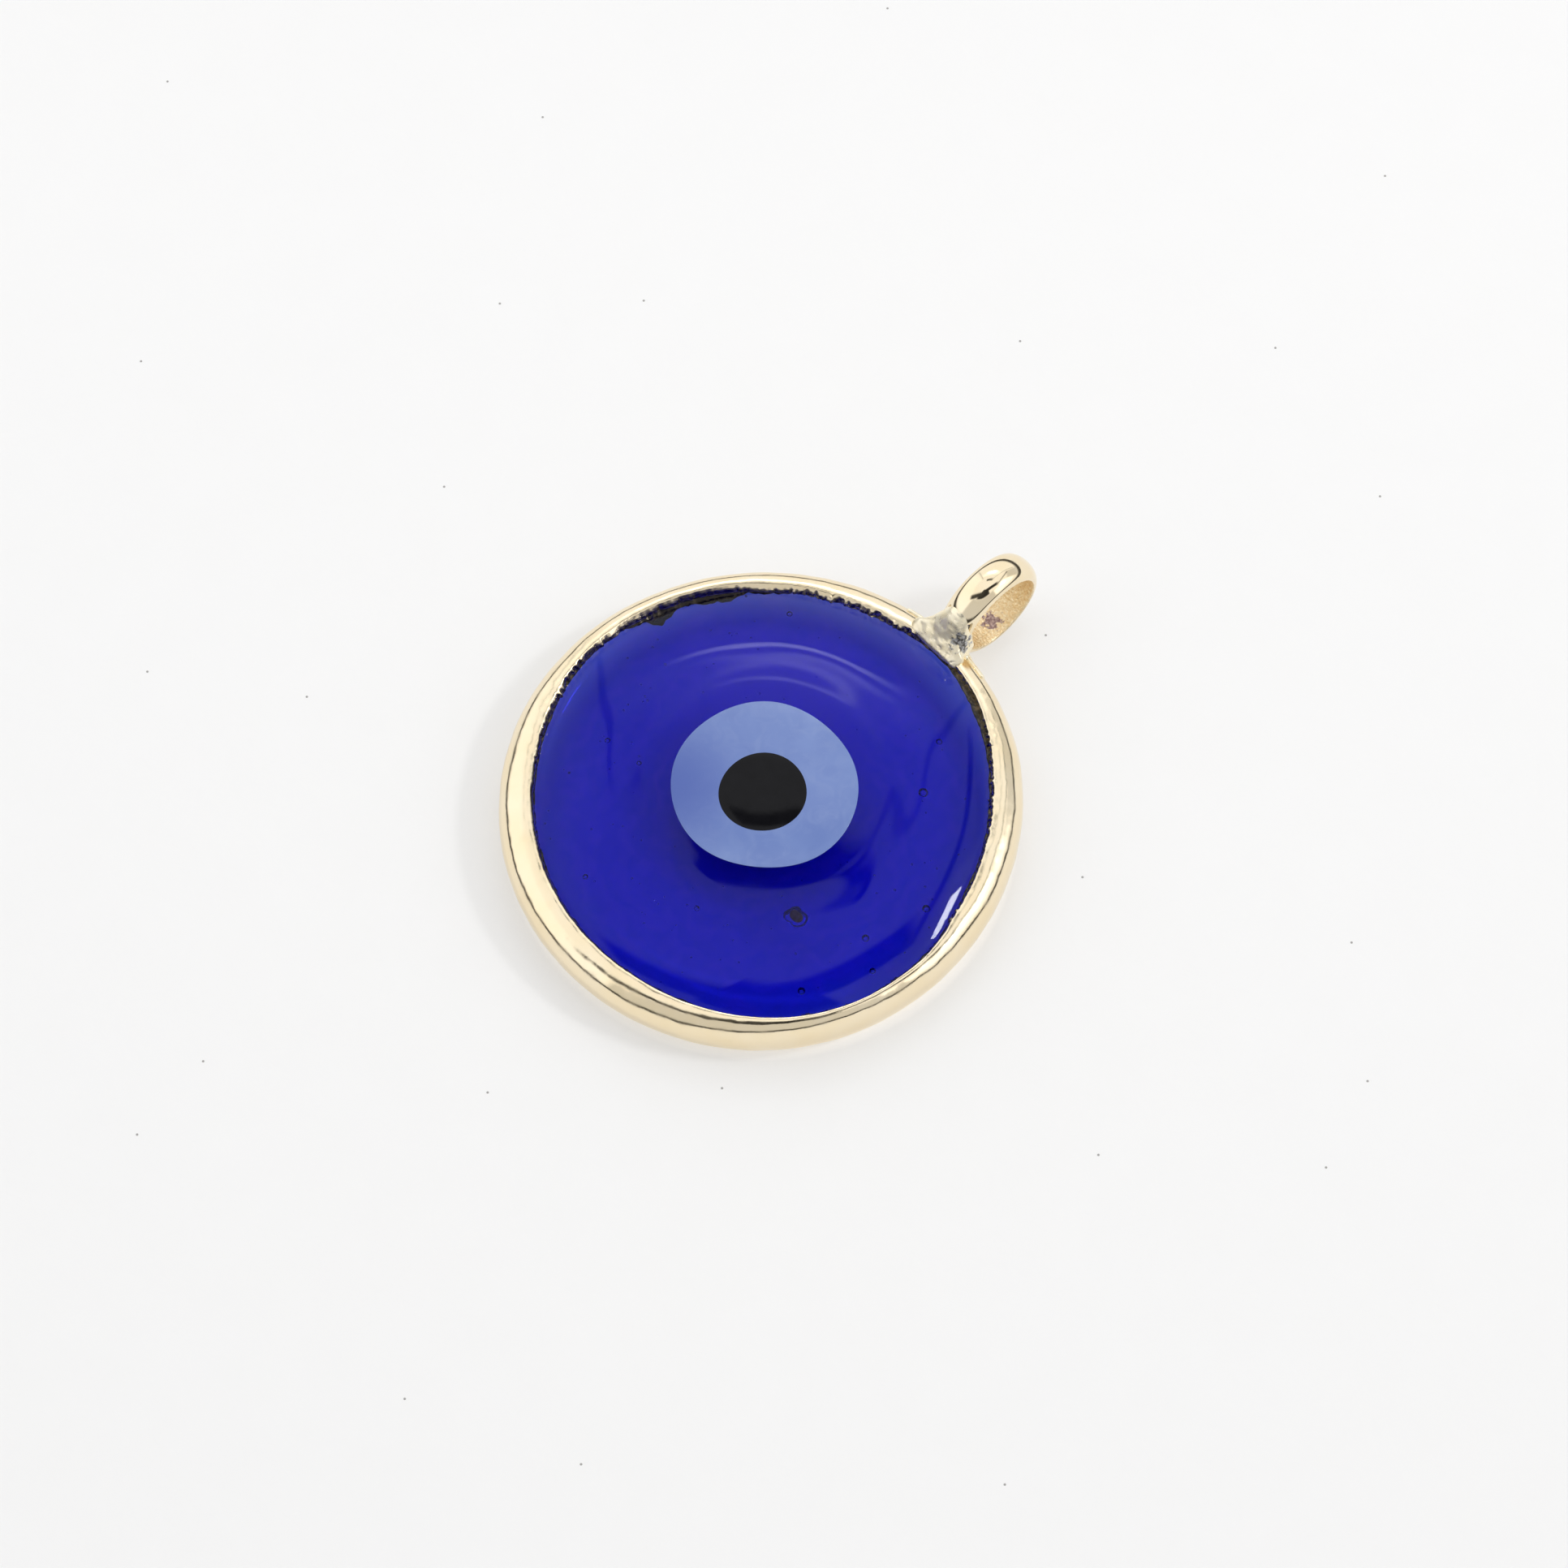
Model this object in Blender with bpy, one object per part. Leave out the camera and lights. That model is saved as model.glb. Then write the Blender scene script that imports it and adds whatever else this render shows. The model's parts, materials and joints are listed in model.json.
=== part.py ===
"""Evil eye charm: a fused glass disc with a plated metal edge and a soldered hanging ring.

Frame: the charm lies on its back, with its back face in z = 0 and +Z out of its front.
+Y points from the middle of the disc at the hanging ring. Lengths are in metres.
"""

import math

import bmesh
import bpy
from mathutils import Vector

MM = 0.001

# Disc
EDGE_RADIUS = 11.0 * MM
EDGE_HEIGHT = 2.5 * MM
GLASS_RADIUS = 10.4 * MM
GLASS_DOME_TOP = 3.3 * MM
GLASS_FLAT_RADIUS = 9.0 * MM
DOME_EXPONENT = 2.6
WIDEST_HEIGHT = 0.5 * EDGE_HEIGHT

# Metal edge and the paint under it
PAINT_THICKNESS = 0.08 * MM
PIECE_GAP = 0.03 * MM
CREST_RADIUS = 9.9 * MM
CREST_HEIGHT = 2.47 * MM
EDGE_EXPONENT = 2.2
LIP_ROUNDING = 0.06 * MM

# Where paint and metal stop, as angles along the glass section from its widest point
PAINT_FRONT_ANGLE = math.radians(25.0)
PAINT_BACK_ANGLE = math.radians(60.0)
METAL_FRONT_ANGLE = math.radians(23.5)
METAL_BACK_ANGLE = math.radians(52.0)

# Hand-made outline, as (waves round the disc, height of a wave, direction of one crest)
EDGE_WAVES = (
    (1, 0.14 * MM, math.radians(130.0)),
    (2, 0.12 * MM, math.radians(75.0)),
    (3, 0.06 * MM, math.radians(80.0)),
)
LIP_WAVES = (
    (1, 0.07 * MM, math.radians(47.0)),
    (2, 0.13 * MM, math.radians(147.0)),
    (3, 0.15 * MM, math.radians(81.0)),
    (4, 0.10 * MM, math.radians(75.0)),
)
LIP_RADIUS = 9.8 * MM

# Dots: centre, radius, height of the rim, rise of the crown, depth of the bowl
IRIS_CENTRE = Vector((-0.03, 0.25)) * MM
IRIS_RADIUS = 3.9 * MM
IRIS_RIM_HEIGHT = 3.22 * MM
IRIS_CROWN = 0.14 * MM
IRIS_DEPTH = 1.05 * MM
PUPIL_CENTRE = Vector((0.19, -0.05)) * MM
PUPIL_RADIUS = 1.83 * MM
PUPIL_RIM_HEIGHT = 3.335 * MM
PUPIL_CROWN = 0.05 * MM
PUPIL_DEPTH = 0.6 * MM

# Hanging ring: a half-round band, flat in its bore, whose axis lies along X
RING_BORE_RADIUS = 1.885 * MM
RING_WALL = 0.545 * MM
RING_EDGE = 0.07 * MM
RING_WIDTH = 1.6 * MM
RING_LIFT = 0.02 * MM
RING_DISTANCE = 13.35 * MM

# Solder neck, as (distance from the ring's near side, place along X, half width, lowest and highest point)
NECK_STATIONS = (
    (-0.75 * MM, -0.22 * MM, 1.65 * MM, 0.50 * MM, 2.20 * MM),
    (-0.35 * MM, -0.22 * MM, 1.55 * MM, 0.40 * MM, 2.45 * MM),
    (0.05 * MM, -0.20 * MM, 1.20 * MM, 0.45 * MM, 2.68 * MM),
    (0.40 * MM, -0.15 * MM, 0.98 * MM, 0.60 * MM, 2.88 * MM),
    (0.75 * MM, -0.12 * MM, 0.85 * MM, 0.95 * MM, 2.80 * MM),
)
NECK_EXPONENT = 2.3

DISC_SEGMENTS = 64
DOT_SEGMENTS = 40
RING_SEGMENTS = 40
NECK_SEGMENTS = 24
CUTTER_MARGIN = 1.0 * MM
SHARP_ANGLE = math.radians(40.0)


def clear_scene():
    for obj in list(bpy.data.objects):
        bpy.data.objects.remove(obj, do_unlink=True)


def make_material(name, color, roughness, metallic=0.0, transmission=0.0):
    material = bpy.data.materials.new(name)
    material.use_nodes = True
    material.diffuse_color = (*color, 1.0)
    shader = material.node_tree.nodes["Principled BSDF"]
    shader.inputs["Base Color"].default_value = (*color, 1.0)
    shader.inputs["Roughness"].default_value = roughness
    shader.inputs["Metallic"].default_value = metallic
    shader.inputs["Transmission Weight"].default_value = transmission
    return material


# Outline of the disc


def wave_height(waves, angle):
    return sum(height * math.cos(count * (angle - crest)) for count, height, crest in waves)


def outline_shift(radius, angle):
    """How far a point of the true round disc moves outwards: the lip's waves inside, the edge's outside."""
    lip = wave_height(LIP_WAVES, angle)
    if radius <= LIP_RADIUS:
        return lip * (radius / LIP_RADIUS) ** 2
    blend = min(1.0, (radius - LIP_RADIUS) / (EDGE_RADIUS - LIP_RADIUS))
    return lip + (wave_height(EDGE_WAVES, angle) - lip) * blend


def shape_outline(mesh):
    for vertex in mesh.vertices:
        radius = math.hypot(vertex.co.x, vertex.co.y)
        if radius > 0.0:
            angle = math.atan2(vertex.co.y, vertex.co.x)
            scale = 1.0 + outline_shift(radius, angle) / radius
            vertex.co.x *= scale
            vertex.co.y *= scale


# Sections, as lists of (radius, height)


def arc_angles(start, end, count):
    return [start + (end - start) * step / (count - 1) for step in range(count)]


def signed_power(value, power):
    return math.copysign(abs(value) ** power, value)


def glass_front_point(angle):
    radius = GLASS_RADIUS * max(0.0, math.cos(angle)) ** (2.0 / DOME_EXPONENT)
    height = WIDEST_HEIGHT + (GLASS_DOME_TOP - WIDEST_HEIGHT) * math.sin(angle)
    return Vector((radius, height))


def glass_back_point(angle):
    radius = GLASS_FLAT_RADIUS + (GLASS_RADIUS - GLASS_FLAT_RADIUS) * math.cos(angle)
    return Vector((radius, WIDEST_HEIGHT * (1.0 - math.sin(angle))))


def glass_edge_section(back_angle, front_angle, back_count, front_count):
    """The glass section from its back, round its widest point, to its front."""
    back = [glass_back_point(angle) for angle in arc_angles(back_angle, 0.0, back_count)]
    front = [glass_front_point(angle) for angle in arc_angles(0.0, front_angle, front_count)]
    return back + front[1:]


def offset_section(points, distance):
    """The section moved outwards; outwards is to the right of its direction."""
    moved = []
    for index, point in enumerate(points):
        before = points[max(0, index - 1)]
        after = points[min(len(points) - 1, index + 1)]
        along = (after - before).normalized()
        moved.append(point + Vector((along.y, -along.x)) * distance)
    return moved


def metal_edge_section(growth=0.0):
    """The outside of the metal edge from its foot on the back to its crest on the front."""
    width = EDGE_RADIUS - CREST_RADIUS + growth
    section = []
    for angle in arc_angles(-math.pi / 2, math.pi / 2, 15):
        half_height = CREST_HEIGHT - WIDEST_HEIGHT if angle > 0.0 else WIDEST_HEIGHT
        radius = CREST_RADIUS + width * max(0.0, math.cos(angle)) ** (2.0 / EDGE_EXPONENT)
        rise = signed_power(math.sin(angle), 2.0 / EDGE_EXPONENT) * (half_height + growth)
        section.append(Vector((radius, WIDEST_HEIGHT + rise)))
    return section


def half_round_section(growth=0.0):
    """The domed outside of the ring as (distance from its axis, place along its axis)."""
    shoulder = RING_BORE_RADIUS + RING_EDGE
    section = []
    for angle in arc_angles(-math.pi / 2, math.pi / 2, 11):
        radius = shoulder + (RING_WALL - RING_EDGE + growth) * math.cos(angle)
        section.append(Vector((radius, (RING_WIDTH / 2 + growth) * math.sin(angle))))
    return section


# Solids


def add_object(name, mesh, material=None):
    mesh.shade_smooth()
    mesh.set_sharp_from_angle(angle=SHARP_ANGLE)
    obj = bpy.data.objects.new(name, mesh)
    bpy.context.collection.objects.link(obj)
    if material is not None:
        mesh.materials.append(material)
    return obj


def turned_mesh(name, section, segments, closed):
    """A section turned round Z. An open section starts and ends on the axis."""
    shape = bmesh.new()
    points = [shape.verts.new((point[0], 0.0, point[1])) for point in section]
    edges = [shape.edges.new(pair) for pair in zip(points, points[1:])]
    if closed:
        edges.append(shape.edges.new((points[-1], points[0])))
    bmesh.ops.spin(
        shape,
        geom=points + edges,
        cent=(0.0, 0.0, 0.0),
        axis=(0.0, 0.0, 1.0),
        angle=2.0 * math.pi,
        steps=segments,
        use_merge=True,
    )
    bmesh.ops.remove_doubles(shape, verts=shape.verts, dist=0.001 * MM)
    bmesh.ops.recalc_face_normals(shape, faces=shape.faces)
    mesh = bpy.data.meshes.new(name)
    shape.to_mesh(mesh)
    shape.free()
    return mesh


def turned_object(name, section, segments, closed, material=None):
    return add_object(name, turned_mesh(name, section, segments, closed), material)


def disc_object(name, section, closed, material=None):
    """A turned solid that follows the disc's hand-made outline."""
    mesh = turned_mesh(name, section, DISC_SEGMENTS, closed)
    shape_outline(mesh)
    return add_object(name, mesh, material)


def hide_cutter(cutter):
    cutter.hide_render = True
    cutter.display_type = "WIRE"


def cut(obj, cutter):
    hide_cutter(cutter)
    modifier = obj.modifiers.new("cut_" + cutter.name, "BOOLEAN")
    modifier.operation = "DIFFERENCE"
    modifier.solver = "EXACT"
    modifier.object = cutter


def bowl_section(radius, rim_height, depth, count=7):
    """The underside of a dot, from the axis out to its rim."""
    section = []
    for angle in arc_angles(math.pi / 2, 0.0, count):
        section.append(Vector((radius * math.cos(angle), rim_height - depth * math.sin(angle))))
    section[0].x = 0.0
    return section


def dot_section(radius, rim_height, crown, depth):
    """A lens: a deep bowl below and a shallow crown above."""
    section = bowl_section(radius, rim_height, depth)
    for share in (0.8, 0.55, 0.3, 0.0):
        section.append(Vector((radius * share, rim_height + crown * (1.0 - share**2))))
    return section


def dot_cutter(name, centre, radius, rim_height, depth):
    """The pocket that a dot sits in, open to the front."""
    section = bowl_section(radius + PIECE_GAP, rim_height, depth + PIECE_GAP)
    section.append(Vector((radius + PIECE_GAP, rim_height + CUTTER_MARGIN)))
    section.append(Vector((0.0, rim_height + CUTTER_MARGIN)))
    cutter = turned_object(name, section, DOT_SEGMENTS, closed=False)
    cutter.location = (centre.x, centre.y, 0.0)
    return cutter


def make_glass_disc():
    back = [Vector((0.0, 0.0))] + [glass_back_point(angle) for angle in arc_angles(math.pi / 2, 0.0, 6)]
    front = [glass_front_point(math.radians(degrees)) for degrees in (8, 16, 24, 32, 41, 51, 62, 75)]
    crown = [Vector((0.0, GLASS_DOME_TOP))]
    glass = make_material("cobalt_glass", (0.03, 0.02, 0.42), 0.04, transmission=0.8)
    disc = disc_object("glass_disc", back + front + crown, closed=False, material=glass)
    cut(disc, dot_cutter("iris_pocket", IRIS_CENTRE, IRIS_RADIUS, IRIS_RIM_HEIGHT, IRIS_DEPTH))
    return disc


def make_iris_dot():
    section = dot_section(IRIS_RADIUS, IRIS_RIM_HEIGHT, IRIS_CROWN, IRIS_DEPTH)
    blue = make_material("pale_blue_glass", (0.22, 0.36, 0.66), 0.12)
    dot = turned_object("iris_dot", section, DOT_SEGMENTS, closed=False, material=blue)
    dot.location = (IRIS_CENTRE.x, IRIS_CENTRE.y, 0.0)
    cut(dot, dot_cutter("pupil_pocket", PUPIL_CENTRE, PUPIL_RADIUS, PUPIL_RIM_HEIGHT, PUPIL_DEPTH))
    return dot


def make_pupil_dot():
    section = dot_section(PUPIL_RADIUS, PUPIL_RIM_HEIGHT, PUPIL_CROWN, PUPIL_DEPTH)
    black = make_material("black_glass", (0.005, 0.005, 0.006), 0.06)
    dot = turned_object("pupil_dot", section, DOT_SEGMENTS, closed=False, material=black)
    dot.location = (PUPIL_CENTRE.x, PUPIL_CENTRE.y, 0.0)
    return dot


def make_base_coat():
    glass = glass_edge_section(PAINT_BACK_ANGLE, PAINT_FRONT_ANGLE, 6, 5)
    inside = offset_section(glass, PIECE_GAP)
    outside = offset_section(glass, PIECE_GAP + PAINT_THICKNESS)
    paint = make_material("dark_conductive_paint", (0.02, 0.019, 0.02), 0.6)
    return disc_object("base_coat", inside + outside[::-1], closed=True, material=paint)


def make_gold_rim():
    glass = glass_edge_section(METAL_BACK_ANGLE, METAL_FRONT_ANGLE, 6, 5)
    inside = offset_section(glass, 2 * PIECE_GAP + PAINT_THICKNESS)
    outside = metal_edge_section()
    front_lip = (inside[-1] + outside[-1]) / 2 + Vector((-LIP_ROUNDING, 0.0))
    gold = make_material("pale_gold_plate", (0.83, 0.68, 0.42), 0.14, metallic=1.0)
    section = inside + [front_lip] + outside[::-1]
    return disc_object("gold_rim", section, closed=True, material=gold)


def ring_centre():
    """The ring stands on the same surface as the disc."""
    return Vector((0.0, RING_DISTANCE, RING_BORE_RADIUS + RING_WALL + RING_LIFT))


def place_on_ring_axis(obj):
    obj.location = ring_centre()
    obj.rotation_euler = (0.0, math.pi / 2, 0.0)


def make_bail_ring(disc_envelope):
    """The ring, filed to a shallow saddle where it meets the metal edge."""
    bore = [Vector((RING_BORE_RADIUS, RING_WIDTH / 2 * place)) for place in (1.0, 0.0, -1.0)]
    gold = make_material("pale_gold_ring", (0.85, 0.7, 0.43), 0.1, metallic=1.0)
    ring = turned_object("bail_ring", half_round_section() + bore, RING_SEGMENTS, True, gold)
    place_on_ring_axis(ring)
    cut(ring, disc_envelope)
    return ring


def make_ring_envelope():
    """The ring grown by the gap, with its bore filled."""
    section = half_round_section(PIECE_GAP)
    section.insert(0, Vector((0.0, section[0].y)))
    section.append(Vector((0.0, section[-1].y)))
    cutter = turned_object("ring_envelope", section, RING_SEGMENTS, closed=False)
    place_on_ring_axis(cutter)
    return cutter


def make_disc_envelope():
    """The metal edge grown by the gap, filled in to its middle."""
    section = metal_edge_section(PIECE_GAP)
    section.insert(0, Vector((0.0, section[0].y)))
    section.append(Vector((0.0, section[-1].y)))
    return disc_object("disc_envelope", section, closed=False)


def neck_loop(shape, station):
    distance, place, half_width, low, high = station
    middle = (low + high) / 2
    half_height = (high - low) / 2
    along = ring_centre().y - RING_BORE_RADIUS - RING_WALL + distance
    loop = []
    for step in range(NECK_SEGMENTS):
        angle = 2.0 * math.pi * step / NECK_SEGMENTS
        x = place + half_width * signed_power(math.cos(angle), 2.0 / NECK_EXPONENT)
        z = middle + half_height * signed_power(math.sin(angle), 2.0 / NECK_EXPONENT)
        loop.append(shape.verts.new((x, along, z)))
    return loop


def join_loops(shape, loop, next_loop):
    for step in range(len(loop)):
        after = (step + 1) % len(loop)
        shape.faces.new((loop[step], loop[after], next_loop[after], next_loop[step]))


def make_bail_neck(disc_envelope):
    shape = bmesh.new()
    loops = [neck_loop(shape, station) for station in NECK_STATIONS]
    for loop, next_loop in zip(loops, loops[1:]):
        join_loops(shape, loop, next_loop)
    shape.faces.new(loops[0])
    shape.faces.new(loops[-1])
    bmesh.ops.recalc_face_normals(shape, faces=shape.faces)
    mesh = bpy.data.meshes.new("bail_neck")
    shape.to_mesh(mesh)
    shape.free()
    solder = make_material("plated_solder", (0.8, 0.66, 0.42), 0.28, metallic=1.0)
    neck = add_object("bail_neck", mesh, solder)
    cut(neck, disc_envelope)
    cut(neck, make_ring_envelope())
    return neck


def main():
    clear_scene()
    make_glass_disc()
    make_iris_dot()
    make_pupil_dot()
    make_base_coat()
    make_gold_rim()
    disc_envelope = make_disc_envelope()
    make_bail_ring(disc_envelope)
    make_bail_neck(disc_envelope)


main()
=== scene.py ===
import json
import math
import random

import bmesh
import bpy
import numpy as np
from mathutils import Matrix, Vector, noise


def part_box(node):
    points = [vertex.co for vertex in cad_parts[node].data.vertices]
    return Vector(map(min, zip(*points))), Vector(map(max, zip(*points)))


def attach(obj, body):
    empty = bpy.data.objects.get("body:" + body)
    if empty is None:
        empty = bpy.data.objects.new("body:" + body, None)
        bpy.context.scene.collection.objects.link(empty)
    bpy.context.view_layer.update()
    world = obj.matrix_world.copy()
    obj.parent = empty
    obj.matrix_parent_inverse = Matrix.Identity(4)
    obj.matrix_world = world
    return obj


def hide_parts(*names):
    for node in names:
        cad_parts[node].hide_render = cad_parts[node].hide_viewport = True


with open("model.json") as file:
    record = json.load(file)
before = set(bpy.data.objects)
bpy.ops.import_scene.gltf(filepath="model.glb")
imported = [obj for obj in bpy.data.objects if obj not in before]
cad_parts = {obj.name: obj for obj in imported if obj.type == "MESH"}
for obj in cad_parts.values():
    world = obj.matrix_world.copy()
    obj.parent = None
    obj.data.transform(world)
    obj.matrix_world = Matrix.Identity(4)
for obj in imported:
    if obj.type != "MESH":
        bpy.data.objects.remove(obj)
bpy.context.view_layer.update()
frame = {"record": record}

# Looks of the evil eye charm. Lengths are in metres, in the frame's own axes: the charm lies on its
# back in z = 0 and +Y points from the middle of the disc at the hanging ring.

MM = 0.001
BODY = "root"

# The disc's section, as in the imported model
EDGE_RADIUS = 11.0 * MM
EDGE_HEIGHT = 2.5 * MM
WIDEST_HEIGHT = 0.5 * EDGE_HEIGHT
GLASS_RADIUS = 10.4 * MM
GLASS_DOME_TOP = 3.3 * MM
GLASS_FLAT_RADIUS = 9.0 * MM
DOME_EXPONENT = 2.6
CREST_RADIUS = 9.9 * MM
CREST_HEIGHT = 2.47 * MM
EDGE_EXPONENT = 2.2
LIP_RADIUS = 9.8 * MM

# Hand-made outlines: waves round the piece, height in millimetres, direction of one crest in degrees
EDGE_WAVES = ((1, 0.14, 130.0), (2, 0.12, 75.0), (3, 0.06, 80.0))
LIP_WAVES = ((1, 0.07, 47.0), (2, 0.13, 147.0), (3, 0.15, 81.0), (4, 0.10, 75.0))

# Where the lip lies further out, as (direction in degrees, spread in degrees, distance)
LIP_STRETCHES = (
    (132.0, 26.0, 0.34 * MM),
    (84.0, 20.0, 0.24 * MM),
    (182.0, 24.0, 0.13 * MM),
    (34.0, 14.0, 0.09 * MM),
    (2.0, 9.0, 0.08 * MM),
)

# Glass surface
BACK_LIFT = 0.03 * MM
RIPPLE_HEIGHT = 0.010 * MM
RIPPLE_LENGTH = 2.3 * MM
RIPPLE_START = 4.3 * MM
RIPPLE_END = 8.6 * MM
SWELL_HEIGHT = 0.010 * MM
SWELL_SIZE = 4.5 * MM
SWELL_FADE_START = 8.2 * MM
SWELL_FADE_END = 9.5 * MM
SWIRL_LENGTH = 1.9 * MM
SWIRL_SHARE = 0.45

# Dots
IRIS_RISE = 0.06 * MM
IRIS_DEPTH = 1.05 * MM
IRIS_WAVES = ((2, 0.06, 20.0), (3, 0.05, 255.0), (5, 0.025, 60.0))
PUPIL_RISE = 0.03 * MM
PUPIL_DEPTH = 0.6 * MM
PUPIL_WAVES = ((2, 0.03, 70.0), (3, 0.02, 10.0))

# Larger bubbles in the glass, in millimetres: place on the front, radius, depth under the surface
BUBBLES = (
    (4.57, 5.05, 0.21, 0.5),
    (8.30, 1.60, 0.17, 0.7),
    (7.60, -1.20, 0.16, 0.8),
    (7.45, -4.70, 0.16, 0.7),
    (8.75, -1.90, 0.13, 0.8),
    (-6.35, -2.82, 0.12, 0.9),
    (-4.57, -2.68, 0.11, 0.7),
    (-5.55, 6.90, 0.13, 0.9),
    (3.23, 7.24, 0.14, 0.6),
    (-2.45, -7.67, 0.12, 0.8),
    (1.84, -5.36, 0.12, 1.2),
)
BUBBLE_SQUASH = 0.8

# The hollow round the brown fleck, in the same terms, and the fleck's share of its radius
INCLUSION = (5.05, -2.72, 0.46, 0.8)
INCLUSION_SQUASH = 0.95
INCLUSION_LOBES = 0.45
FLECK_SHARE = 0.75

# Seed bubbles, scattered over the disc clear of the dots
SPECK_COUNT = 110
SPECK_SEED = 11
SPECK_REACH = 8.9 * MM
SPECK_SIZES = (0.02, 0.055)
SPECK_DEPTHS = (0.3, 1.8)
SPECK_SQUASH = 0.9
DOTS_REACH = 4.3 * MM

# Paint band and metal lip, by direction round the disc
PAINT_SINK = 0.02 * MM
PAINT_PROUD = 0.05 * MM
PAINT_LIP_RADIUS = 9.69 * MM
PAINT_BACK_RADIUS = 10.20 * MM
METAL_BACK_RADIUS = 10.0 * MM
PAINT_STRETCHES = ((74.0, 9.0, 0.12 * MM), (122.0, 24.0, -0.05 * MM))
PAINT_BACK_STRETCHES = (
    (137.0, 10.0, 0.52 * MM),
    (151.0, 9.0, 0.44 * MM),
    (165.0, 8.5, 0.70 * MM),
)
METAL_LIP_RADIUS = 9.73 * MM
METAL_LIP_LIMIT = 9.87 * MM
METAL_LIP_STRETCHES = (
    (74.0, 12.0, -0.08 * MM),
    (176.0, 18.0, 0.05 * MM),
    (131.0, 13.0, 0.12 * MM),
)
LIP_THICKNESS = 0.07 * MM
FRINGE_HEIGHT = 2.03 * MM
CRESCENT_PLACE = (-8.7 * MM, 5.3 * MM, 1.0 * MM)
CRESCENT_REACH = 4.0 * MM
CRUMB_STRETCHES = ((186.0, 18.0, 0.9), (106.0, 22.0, 0.9), (30.0, 46.0, 1.0), (-22.0, 20.0, 0.9))
CRUMB_BASE = 0.22
CRUMB_SIZE = 0.16 * MM
CRUMB_HEIGHT = 0.045 * MM
CRUMB_PIT_DEPTH = 0.03 * MM
LIP_RAGGED = 0.015 * MM
LIP_RAGGED_BY_CRUMBS = 0.085 * MM
LIP_CIRCLE = 9.7 * MM
WAVINESS_HEIGHT = 0.020 * MM
WAVINESS_SIZE = 1.5 * MM

# Hanging ring
RING_BORE_RADIUS = 1.885 * MM
RING_WALL = 0.545 * MM
RING_EDGE = 0.07 * MM
RING_WIDTH = 1.6 * MM

# The solder neck's lumps: centre and radius, in millimetres
SOLDER_LUMPS = (
    (-0.75, 10.78, 1.95, 0.55),
    (-0.30, 10.92, 2.45, 0.52),
    (0.30, 10.95, 2.40, 0.55),
    (0.62, 10.98, 2.15, 0.50),
    (-1.15, 10.86, 1.60, 0.42),
    (1.00, 10.88, 1.70, 0.42),
    (0.75, 11.35, 2.35, 0.30),
)
# The solder's core, from the edge to the ring: y, middle x, half width, lowest and highest z
SOLDER_CORE = (
    (10.10, -0.15, 1.35, 2.20, 2.46),
    (10.35, -0.15, 1.48, 2.12, 2.74),
    (10.60, -0.15, 1.46, 1.90, 3.04),
    (10.82, -0.12, 1.30, 0.50, 3.34),
    (11.10, -0.05, 1.05, 0.50, 3.74),
    (11.40, 0.0, 0.90, 0.70, 4.06),
    (11.65, 0.0, 0.80, 0.95, 4.10),
)

# The slice of the edge in the neck, and how the neck is melted together (in millimetres and passes)
SLICE_RADIUS = 10.72 * MM
SLICE_HALF_WIDTH = 0.24 * MM
SLICE_HALF_HEIGHT = 1.05 * MM
MELT_SIZE = 0.032
MELT_PASSES = 60

# How finely the pieces are divided round their axes
DISC_COLUMNS = 360
DOT_COLUMNS = 256
PAINT_COLUMNS = 900
LIP_COLUMNS = 1300
FLECK_COLUMNS = 40
RING_COLUMNS = 420
RING_ROWS = 48

# Colours
GOLD = (0.93, 0.785, 0.535)
GOLD_PALE = (0.945, 0.82, 0.60)
GOLD_TARNISH = (0.25, 0.17, 0.10)
BORE_GOLD_DARK = (0.86, 0.66, 0.38)
BORE_GOLD_LIGHT = (0.95, 0.81, 0.56)
BORE_STAIN_DARK = (0.26, 0.17, 0.17)
BORE_STAIN_LIGHT = (0.55, 0.42, 0.38)
SOLDER_GOLD = (1.0, 0.88, 0.62)
SOLDER_PALE = (1.0, 0.92, 0.72)
# Colour of the darker crack lines near the top of the neck
SOLDER_CRACK_DARK = (0.30, 0.27, 0.24)
BARE_DARK = (0.06, 0.06, 0.065)
BARE_LIGHT = (0.45, 0.45, 0.46)
GLASS_DEPTHS = (0.062, 0.030, 0.935, 1.0)
GLASS_DENSITY = 640.0
GLASS_GLOSS = (0.43, 0.43, 0.43, 1.0)
GLASS_BLUE = (0.44, 0.46, 0.95)
GLASS_BLUE_GREEN = (0.40, 0.50, 0.95)
GLASS_SWIRL = (0.85, 0.60, 1.0)
GLASS_HEART = (1.0, 0.84, 1.0)
# Greener tint near the glass's edge, a painted reflection
GLASS_EDGE_PAINTED_REFLECTION = (0.34, 0.66, 0.93)
FLECK_DARK = (0.10, 0.03, 0.03)
FLECK_LIGHT = (0.24, 0.09, 0.07)
IRIS_BLUE = (0.165, 0.240, 0.53)
IRIS_MILKY = (0.195, 0.278, 0.57)
IRIS_WISP = (0.23, 0.31, 0.58)
# Painted shade: the pale dot's colour on its darker side
IRIS_PAINTED_SHADE = (0.098, 0.152, 0.45)
PUPIL_DARK = (0.003, 0.003, 0.004)
PUPIL_LIGHT = (0.008, 0.008, 0.010)
PAINT_DARK = (0.010, 0.009, 0.010)
PAINT_BROWN = (0.17, 0.135, 0.10)
PAINT_CHAR = (0.004, 0.004, 0.005)
PAINT_SILVER = (0.80, 0.80, 0.82)
# Paper colours: dull and clean for the open paper, dimmed because the painted glow makes up part of its
# brightness, and the full colour under the charm
PAPER_DULL = (0.575, 0.573, 0.570)
PAPER_CLEAN = (0.590, 0.589, 0.588)
PAPER_UNDER_CHARM = (0.93, 0.93, 0.93)
PAPER_DUST = (0.20, 0.19, 0.18)
WHITE = (1.0, 1.0, 1.0, 1.0)
BACKDROP = (0.92, 0.92, 0.92, 1.0)
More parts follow.
